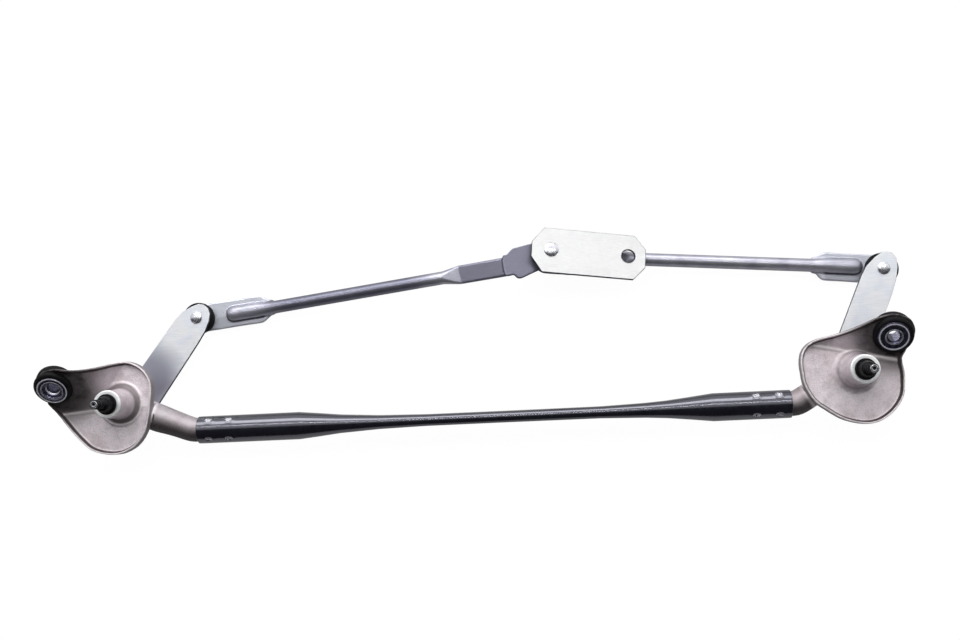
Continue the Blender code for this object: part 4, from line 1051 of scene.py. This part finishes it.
# %% Shafts with their rings
shaft_profile = [
    (0.0, 72.9), (0.9, 73.6), (1.6, 74.5), (3.0, 74.5), (3.65, 73.6), (3.65, 57.6), (5.5, 57.0),
    (5.9, 56.6), (7.3, 48.9), (7.5, 48.3), (7.5, -21.7), (6.0, -21.7), (6.0, -26.3),
    (8.2, -26.3), (8.2, -28.5), (7.0, -29.5), (2.2, -29.5), (1.2, -28.6), (0.0, -28.4),
]
shaft_rings = [
    ("_tip_ring", [(1.5, 74.5), (3.0, 74.5), (3.3, 74.15), (1.4, 74.15)],
     stud_steel, 0.05, 48, "dark_shaft_steel", None),
    ("_top_washer", [(7.8, 46.5), (12.0, 46.5), (12.5, 46.2), (12.5, 45.6), (7.8, 45.6)],
     bright_steel, 0.2, 84, "zinc_plated_steel", "_cap_washer"),
    ("_lip_seal", [(7.75, 48.5), (8.6, 48.5), (9.2, 47.9), (9.2, 46.8), (7.75, 46.8)],
     black_rubber, 0.2, 84, "black_rubber", "_shaft_seal"),
    ("_lower_washer", [(7.8, -20.3), (12.0, -20.3), (12.0, -21.7), (7.8, -21.7)],
     stud_steel, 0.2, 84, "sleeve_steel", "_thrust_washer"),
]


def wiper_shaft(side, pivot_x):
    """One shaft with its serrations, thread, washers and seal."""
    place = standing((pivot_x, 0, 0))
    body = side + "_crank"
    shaft = turned(side + "_wiper_shaft", shaft_profile, place, shaft_steel, False, 0.3, 72)
    settle(shaft, body, "dark_shaft_steel", side + "_pivot_shaft")
    for title, tree in (("_serrations", serrated_cone), ("_thread", swept_thread)):
        settle(grown(side + title, tree, place, shaft_steel), body, "dark_shaft_steel")
    for title, profile, finish, ease, steps, slot, node in shaft_rings:
        made = turned(side + title, profile, place, finish, True, ease, steps)
        settle(made, body, slot, *([side + node] if node else []))


wiper_shaft("left", -half_span)
wiper_shaft("right", half_span)

# %% [markdown]
# ## Cranks and drive plate
# These are pressed from 4 mm strip. Their measured shape is right, so each is a copy whose cut
# edges are rounded like the edge of a stamping, and whose cut sides take a near-black painted
# shade.

# %% Stamped arms and plate
for side in ("left", "right"):
    arm = rounded_copy(side + "_crank_arm", side + "_stamped_crank", zinc_plate, 0.40, shaft_up)
    settle(arm, side + "_crank", "zinc_plated_steel", side + "_crank_arm")
plate_axis = Vector(joint["drive_crank_turn"]["axis"]).normalized()
plate = rounded_copy("drive_crank_plate", "stamped_drive_plate", plate_zinc, 0.95, plate_axis, 0.98)
settle(plate, "drive_crank", "zinc_plated_steel", "drive_crank_plate")

# %% [markdown]
# ## Link rods
# Each rod is a round bar. Its outer end is welded into a flat with an eye, where the end of the
# bar shows as a long rounded ridge, and its inner end is pressed flat between two planes. The
# planes cut the round bar in a pointed facet. Each ring of the bar is therefore an ellipse that
# is clipped above and below, and the flats are smooth outlines; a fine remesh welds them.

# %% Bars and flats of a rod
rod_voxel = 0.00055


def clipped_bar(name, start, direction, stations, lean_up):
    """A bar through stations of distance, shift, height, width, half height, clips and lean."""
    across = Vector((-direction.y, direction.x, 0.0))
    rows = np.array(stations, float)
    spots = np.unique(np.concatenate([np.arange(rows[0, 0], rows[-1, 0], 1.2), rows[:, 0]]))
    table = np.column_stack([np.interp(spots, rows[:, 0], column) for column in rows.T])
    rings = []
    for distance, shift, height, width, half, clip_over, clip_under, lean in table:
        centre = start + direction * distance + across * shift
        centre.z = height
        tilt = Vector((0.0, 0.0, 1.0)).lerp(lean_up, lean).normalized()
        along = across.cross(tilt).normalized()
        side = tilt.cross(along).normalized()
        ring = []
        for c, s in circle(56):
            level = max(-clip_under, min(clip_over, half * s))
            ring.append(tuple(centre + side * (width / 2 * c) + tilt * level))
        rings.append(ring)
    return skin(name, rings)


def flat_end(name, centre, along, upward, outline, thickness):
    """A flat plate with softly rounded edges, from a smooth outline in its own plane."""
    over = upward.cross(along).normalized()
    ahead = over.cross(upward).normalized()
    loop = smooth_loop(outline, 160)
    rings = []
    for shrink, level in ((1.2, -0.5), (0.35, -0.5), (0.0, -0.38), (0.0, 0.38), (0.35, 0.5),
                          (1.2, 0.5)):
        rings.append([tuple(centre + ahead * x + over * y + upward * (level * thickness))
                      for x, y in inset(loop, shrink)])
    return skin(name, rings)


def eye_outline(eye, shoulder, length, neck, shift, neck_shift, swell=0.0):
    """A round eye whose straight sides swell a little at the shoulders and run into the bar."""
    def flank(sign, more):
        rows = [(0.3 * shoulder, eye - 0.1, 0.3 * shift),
                (0.65 * shoulder, eye - 0.25, 0.65 * (shift + more)),
                (shoulder - 3.0, eye - 0.1, shift + more),
                (shoulder + 1.0, eye - 0.7, shift + more),
                (shoulder + 4.0, eye - 2.6, shift + 0.5 * more),
                (length - 2.0, neck + 1.6, neck_shift), (length + 2.5, neck - 0.4, neck_shift)]
        return [(x, sign * half + move) for x, half, move in rows]

    points = [(eye * math.cos(a), eye * math.sin(a)) for a in np.radians(np.arange(100, 261, 16))]
    return points + flank(-1, 0.0) + flank(1, swell)[::-1]


# %% Rods welded and drilled
eye_thickness = 3.0
socket_hole = 9.6
drill_reach = 9
two_balls_apart = 13.8
ball_level = linkage_point("left_rod_turn").z
plate_up = (linkage.to_3x3().inverted() @ Vector(joint["drive_crank_turn"]["axis"])).normalized()
upper_ball = linkage_point("drive_crank_turn")
lower_ball = upper_ball - plate_up * two_balls_apart


def pressed_rod(side, start, finish_line, stations, outer, inner, outer_shape, inner_shape, widen,
                pale):
    """A rod from its bar and two flats, with the holes of both sockets. Pale is the distance
    over which the outer flat is painted lighter.
    """
    start, finish_line = Vector(start), Vector(finish_line)
    direction = Vector((finish_line.x - start.x, finish_line.y - start.y, 0.0)).normalized()
    up = Vector((0.0, 0.0, 1.0))
    shells = [clipped_bar(side + "_bar", start, direction, stations, plate_up),
              flat_end(side + "_outer_flat", outer, direction, up, outer_shape, eye_thickness),
              flat_end(side + "_inner_flat", inner, -direction, plate_up, inner_shape,
                       eye_thickness)]
    name = side + "_pressed_rod"
    mesh = melted(name, shells, to_world, drawn_steel, rod_voxel, 6)
    for centre, axis, radius in ((outer, up, socket_hole), (inner, plate_up, socket_hole + widen)):
        mesh = drilled(name, mesh, drawn_steel, standing(centre, axis), radius, drill_reach)
    ahead, aside, over = (spots_of(mesh, to_world) - np.array(outer)).T
    away = np.hypot(ahead, aside)
    # Painted light: the outer flat, below the ridge and within the pale distance, is stored
    # lighter.
    clean = between(over, -3.0, 1.62, 0.2) * between(away, -1.0, pale, 8.0)
    clean *= 1.0 if side == "left" else 0.7
    # Painted shade along the foot of the ridge, darker on its lower side.
    foot = between(over, 1.55, 3.1, 0.6) * between(away, 16.0, pale - 4.0, 3.0)
    lower = ahead * direction.y / direction.x - aside
    foot *= 0.30 + 0.60 * between(lower, 2.0, 99.0, 2.0)
    store(mesh, clean=clean, grime=foot)
    made = as_piece(name, mesh, drawn_steel, 40.0)
    return settle(made, side + "_rod", "rod_steel", side + "_link_rod")


def climb(distance):
    """The left bar leaves its flat end level and then climbs."""
    return ball_level + 0.8 + 0.07 * max(0.0, distance - 70.0)


def nose(start, end):
    """The round nose of a ridge and its even part, as stations."""
    rows = [(start, 4.0, 2.6, 1.2), (start + 0.6, 9.0, 4.0, 1.2), (start + 2.0, 12.2, 5.3, 1.2),
            (start + 4.0, 14.2, 6.0, 1.2), (start + 7.0, 15.2, 6.3, 1.3), (end, 15.2, 6.4, 1.4)]
    return [(along, 0, ball_level, width, half, 9, under, 0) for along, width, half, under in rows]


base, tall, deep = ball_level, upper_ball.z + 5.025, lower_ball.z - 4.5
left_stations = nose(27.0, 56.0) + [
    (66.0, 0, base + 0.3, 13.8, 6.3, 9, 3.6, 0), (76.0, 0, climb(76), 12.2, 6.1, 9, 6.1, 0),
    (239.0, 0, climb(239), 12.2, 6.1, 6.1, 6.1, 0),
    (254.5, 0, climb(254.5), 17.6, 4.6, 2.1, 2.1, 0),
    (293.0, 0, climb(293), 17.9, 4.4, 2.1, 2.1, 0),
    (303.0, 0, climb(303) - 0.2, 17.9, 4.4, 2.1, 2.1, 0.5),
    (312.0, 0.4, tall - 3.0, 17.6, 3.4, 1.5, 1.5, 1),
    (318.0, 0.6, tall - 2.2, 17.0, 2.6, 1.1, 1.1, 1)]
right_stations = nose(17.0, 45.0) + [
    (53.0, 0, base + 0.2, 13.6, 6.2, 9, 3.8, 0), (61.0, 0, base - 0.4, 12.2, 6.1, 9, 6.1, 0),
    (226.0, 0, base - 1.0, 12.2, 6.1, 6.1, 6.1, 0),
    (240.0, 0, base - 1.6, 17.6, 4.6, 2.1, 2.1, 0),
    (256.0, 0.4, base - 3.0, 17.9, 4.4, 2.1, 2.1, 0.4),
    (270.0, 1.2, deep + 0.2, 18.0, 3.6, 1.8, 1.8, 1),
    (286.0, 1.8, deep + 2.6, 18.0, 2.8, 1.3, 1.3, 1)]
left_ball, right_ball = linkage_point("left_rod_turn"), linkage_point("right_rod_turn")
pressed_rod("left", (left_ball.x, 77.8, base), (68.0, 115.1, 0.0), left_stations, left_ball,
            upper_ball, eye_outline(13.3, 60.5, 71.0, 6.2, -0.4, -0.4),
            eye_outline(13.3, 32.5, 42.0, 8.6, 4.0, 6.6, 3.2), 0.0, 68.0)
pressed_rod("right", (right_ball.x, 92.9, base), (68.0, 120.5, 0.0), right_stations, right_ball,
            lower_ball, eye_outline(13.3, 51.0, 60.0, 6.4, -1.2, -1.8),
            eye_outline(16.0, 23.0, 42.0, 7.8, 0.0, 0.0), 2.7, 55.0)

# %% [markdown]
# ## The frame tube
# The tube keeps its full round section at both ends, where it grips the spigots, and is pressed
# narrow between them. Its skin is a row of slot-shaped rings. Small dents crimp it onto each
# spigot; they are pushed into the skin where a ring's point lies near a punch.

# %% Tube
tube_y = -27.3
tube_radius = 12.5
tube_wall = 1.6
tube_widths = [(-262.0, 25.0), (-168.0, 25.0), (-149.0, 21.2), (-129.0, 16.8), (-93.0, 12.4),
               (-50.0, 10.4), (20.0, 10.2), (107.0, 10.5), (146.0, 13.0), (166.0, 15.6),
               (186.0, 20.0), (207.0, 25.0), (275.0, 25.0)]
crimp_rows = [-251.0, -232.0, 244.0, 264.0]
punches = [np.array([row, tube_y + side * 8.8, face * 8.88])
           for row in crimp_rows for side in (-1, 1) for face in (-1, 1)]
punch_shape = (0.72, 1.0, 1.0)
tube_sides = 80


def tube_ring(x, shrink=0.0):
    """The section at one place along the tube, moved inwards for the inner wall."""
    places, widths = zip(*tube_widths)
    width = float(np.interp(x, places, widths))
    height = width + math.pi * (2 * tube_radius - width) / 2 - 2 * shrink
    width -= 2 * shrink
    lift = max(0.0, (height - width) / 2)
    made = []
    for i in range(tube_sides):
        angle = 2 * math.pi * (i + 0.5) / tube_sides
        rise = width / 2 * math.sin(angle)
        rise += math.copysign(lift, rise)
        made.append([x, tube_y + width / 2 * math.cos(angle), rise])
    return np.array(made)


def punched(ring, x):
    """Pushes the ring's points in under each crimping punch."""
    middle = np.array([x, tube_y, 0.0])
    for punch in punches:
        if abs(x - punch[0]) > 6.0:
            continue
        away = np.linalg.norm((ring - punch) * punch_shape, axis=1)
        depth = 1.4 * np.exp(-(away / 1.9) ** 4) - 0.22 * np.exp(-((away - 3.0) / 0.7) ** 2)
        inward = middle - ring
        inward[:, 0] = 0.0
        inward /= np.linalg.norm(inward, axis=1)[:, None]
        ring = ring + inward * depth[:, None]
    return ring


places = set(np.round(np.arange(-258.0, 272.0, 3.0), 3))
for row in crimp_rows:
    places |= set(np.round(np.arange(row - 5.0, row + 5.01, 0.45), 3))
places = sorted(x for x in places if -261.0 < x < 274.0)
skin_rows = [tube_ring(-262.0, 0.4), tube_ring(-261.7, 0.1)]
skin_rows += [punched(tube_ring(x), x) for x in places]
skin_rows += [tube_ring(274.7, 0.1), tube_ring(275.0, 0.4)]
skin_rows += [tube_ring(x, tube_wall) for x, _ in tube_widths[:0:-1]]
skin_rows.append(tube_ring(-262.0, tube_wall))
mesh = moved(skin("coated_tube", skin_rows, closed=True), to_world)
tube = as_piece("coated_tube", mesh, black_paint, 40.0)
spots = spots_of(mesh, to_world)
# Where the punches struck: chipped paint and a painted highlight of the dents.
away = np.min([np.linalg.norm((spots - punch) * punch_shape, axis=1) for punch in punches], axis=0)
store(mesh, struck=np.clip((2.6 - away) / 0.6, 0.0, 1.0))
settle(tube, "frame", "coated_tube", "frame_tube")

# %% [markdown]
# ## Ball joints
# A riveted ball stud snaps into a plastic socket in each rod end, and a rubber boot keeps the
# grease in. They are turned bodies, with the ball, neck and rivet head of the stud in one profile.

# %% Ball studs
ball_radius = 6.0
neck_radius = 3.4
ball_drop = 8.5
strip = 4.0


def stud_profile(head, head_height, balls):
    """Rivet head, neck and balls of a stud, down its outer side from the strip's face."""
    made = [(0.0, head_height), (head * 0.35, head_height * 0.98),
            (head * 0.62, head_height * 0.84), (head * 0.84, head_height * 0.60),
            (head * 0.96, 0.75), (head, 0.45), (head - 0.3, 0.3), (4.2, 0.3),
            (4.2, -strip - 0.3), (5.6, -strip - 0.3), (5.6, -strip - 0.9),
            (neck_radius, -strip - 1.5)]
    meet = math.degrees(math.asin(neck_radius / ball_radius))
    for number, centre in enumerate(balls):
        last = number == len(balls) - 1
        end = 180.0 if last else 180.0 - meet
        for k in range(17):
            turn = math.radians(meet + (end - meet) * k / 16)
            radius = 0.0 if last and k == 16 else ball_radius * math.sin(turn)
            made.append((radius, centre + ball_radius * math.cos(turn)))
    return made


single_stud = stud_profile(5.7, 2.1, [-strip - ball_drop])
for side, ball in (("left", left_ball), ("right", right_ball)):
    place = standing(ball + Vector((0, 0, strip + ball_drop)))
    stud = turned(side + "_riveted_stud", single_stud, place, stud_steel, False, 0.1, 64)
    settle(stud, side + "_crank", "zinc_plated_steel", side + "_ball_stud")
double_stud = stud_profile(6.8, 2.1, [-strip - ball_drop, -strip - ball_drop - two_balls_apart])
place = standing(upper_ball + plate_up * (strip + ball_drop), plate_up)
stud = turned("double_riveted_stud", double_stud, place, stud_steel, False, 0.1, 64)
settle(stud, "drive_crank", "zinc_plated_steel", "drive_ball_stud")


# %% Boots over the sockets
def boot_profile(top, hole):
    """A low bellows: a flat top, one groove round its side, and a lip under the flange."""
    return [(hole, top), (12.8, top), (13.4, top - 0.3), (14.6, top - 1.1), (15.0, top - 2.2),
            (14.4, top - 3.2), (15.0, top - 4.2), (15.0, 2.3), (14.5, 1.8), (11.8, 1.8),
            (11.8, 4.8), (hole, 4.8)]


for name, place, body, node in (
        ("left_ball_boot", standing(left_ball), "left_rod", "left_outer_boot"),
        ("right_ball_boot", standing(right_ball), "right_rod", "right_outer_boot"),
        ("plate_ball_boot", standing(upper_ball, plate_up), "left_rod", "left_inner_boot")):
    boot = turned(name, boot_profile(8.2, 5.9), place, black_rubber, True, 0.3, 84)
    settle(boot, body, "black_rubber", node)

# %% [markdown]
# ## Pieces that keep their measured shape
# Sockets, bushes and the low boot are small and mostly hidden, and their measured shape is right.
# They only take their finish.

# %% Finishes of the kept nodes
kept_finish = {"bush": sintered_bronze, "socket": socket_plastic, "boot": black_rubber}
for name, node in frame["nodes"].items():
    if node.hide_render:
        continue
    finish = next(f for word, f in kept_finish.items() if word in name)
    node.data.materials.clear()
    node.data.materials.append(finish)
    print("kept", name, "in", finish.name)

# %% [markdown]
# ## Camera, floor and light
# The camera stands where the photograph was taken from, nearly above the linkage. The floor is a
# pale sheet that takes a soft shadow. Camera rays see it mostly as a white glow, and mirror rays
# see a fifth of that glow.

# %% Camera
camera_centre = (82.5, -8.0, 1024.0)
camera_right = (0.9956573, -0.0457884, -0.0810552)
camera_up = (0.0509996, 0.9966820, 0.0634345)
camera_data = bpy.data.cameras.new("photo_camera")
camera_data.sensor_width = 36.0
camera_data.lens = 42.34
camera_data.clip_start = 0.01
camera_data.clip_end = 60.0
camera = bpy.data.objects.new("photo_camera", camera_data)
bpy.context.scene.collection.objects.link(camera)
right, up = Vector(camera_right).normalized(), Vector(camera_up)
up = (up - right * up.dot(right)).normalized()
turn = Matrix((right, up, right.cross(up))).transposed().to_4x4()
turn.translation = Vector(camera_centre) * 0.001
camera.matrix_world = linkage @ turn
bpy.context.scene.camera = camera
print("camera at", [round(x, 3) for x in camera.matrix_world.translation])


# %% Floor and world
def make_floor_finish(to_camera=0.88, to_mirrors=0.2, glow=1.11):
    """A pale sheet mixed with a white glow, by a share for each kind of ray."""
    made, tree, shader, spot = start_finish("studio_floor", (0.86, 0.86, 0.86), 0.0, 0.9)
    connect(tree, shader, ramp(tree, noise(tree, spot, 3.0), (0.3, 0.29), (0.7, 0.32)))
    rays = tree.nodes.new("ShaderNodeLightPath").outputs
    mirrored = maths(tree, "MAXIMUM", rays["Is Glossy Ray"], rays["Is Transmission Ray"])
    share = maths(tree, "MAXIMUM", maths(tree, "MULTIPLY", rays["Is Camera Ray"], to_camera),
                  maths(tree, "MULTIPLY", mirrored, to_mirrors))
    white = add(tree, "ShaderNodeEmission", Color=(1.0, 1.0, 1.0, 1.0), Strength=glow)
    blend = add(tree, "ShaderNodeMixShader", _0=share, _1=shader.outputs[0], _2=white.outputs[0])
    tree.links.new(blend.outputs[0], tree.nodes["Material Output"].inputs["Surface"])
    return made


floor_mesh = bpy.data.meshes.new("studio_floor")
floor_reach = 14.0
corners = [(x * floor_reach, y * floor_reach, 0) for x, y in ((-1, -1), (1, -1), (1, 1), (-1, 1))]
floor_mesh.from_pydata(corners, [], [(0, 1, 2, 3)])
floor_mesh.materials.append(make_floor_finish())
floor = bpy.data.objects.new("studio_floor", floor_mesh)
bpy.context.scene.collection.objects.link(floor)
floor.location.z = -0.0006
world = bpy.data.worlds.new("studio_air")
bpy.context.scene.world = world
world.use_nodes = True
air = world.node_tree
toward = air.nodes.new("ShaderNodeTexCoord").outputs["Generated"]
toward = add(air, "ShaderNodeSeparateXYZ", Vector=toward).outputs
side = add(air, "ShaderNodeMapRange", {"interpolation_type": "SMOOTHSTEP"},
           Value=maths(air, "MULTIPLY_ADD", toward["Z"], 0.09, toward["Y"]),
           From_Min=-0.08, From_Max=0.07, To_Min=0.035, To_Max=0.92)
seen = air.nodes.new("ShaderNodeLightPath").outputs["Is Camera Ray"]
level = maths(air, "MAXIMUM", seen, side.outputs["Result"])
air.links.new(level, air.nodes["Background"].inputs["Strength"])
air.nodes["Background"].inputs["Color"].default_value = (1.0, 1.0, 1.0, 1.0)


# %% Lamps
def soft_lamp(name, place, target, size, power):
    """A soft box of a length and a width that faces its target."""
    data = bpy.data.lights.new(name, "AREA")
    data.shape = "RECTANGLE"
    data.size, data.size_y = size
    data.energy = power
    made = bpy.data.objects.new(name, data)
    bpy.context.scene.collection.objects.link(made)
    made.location = place
    made.rotation_euler = (Vector(target) - Vector(place)).to_track_quat("-Z", "Y").to_euler()
    made.visible_camera = False
    return made


soft_lamp("key_box", (-0.15, 1.30, 1.20), (0.0, 0.0, 0.0), (1.8, 0.7), 16.0)
soft_lamp("line_box", (0.0, 0.32, 1.30), (0.0, -0.07, 0.0), (2.2, 0.02), 4.0)
fill = soft_lamp("fill_box", (0.10, 0.60, 1.40), (0.0, 0.0, 0.0), (1.0, 1.0), 7.0)
fill.visible_glossy = False
bpy.context.scene.view_settings.view_transform = "Standard"
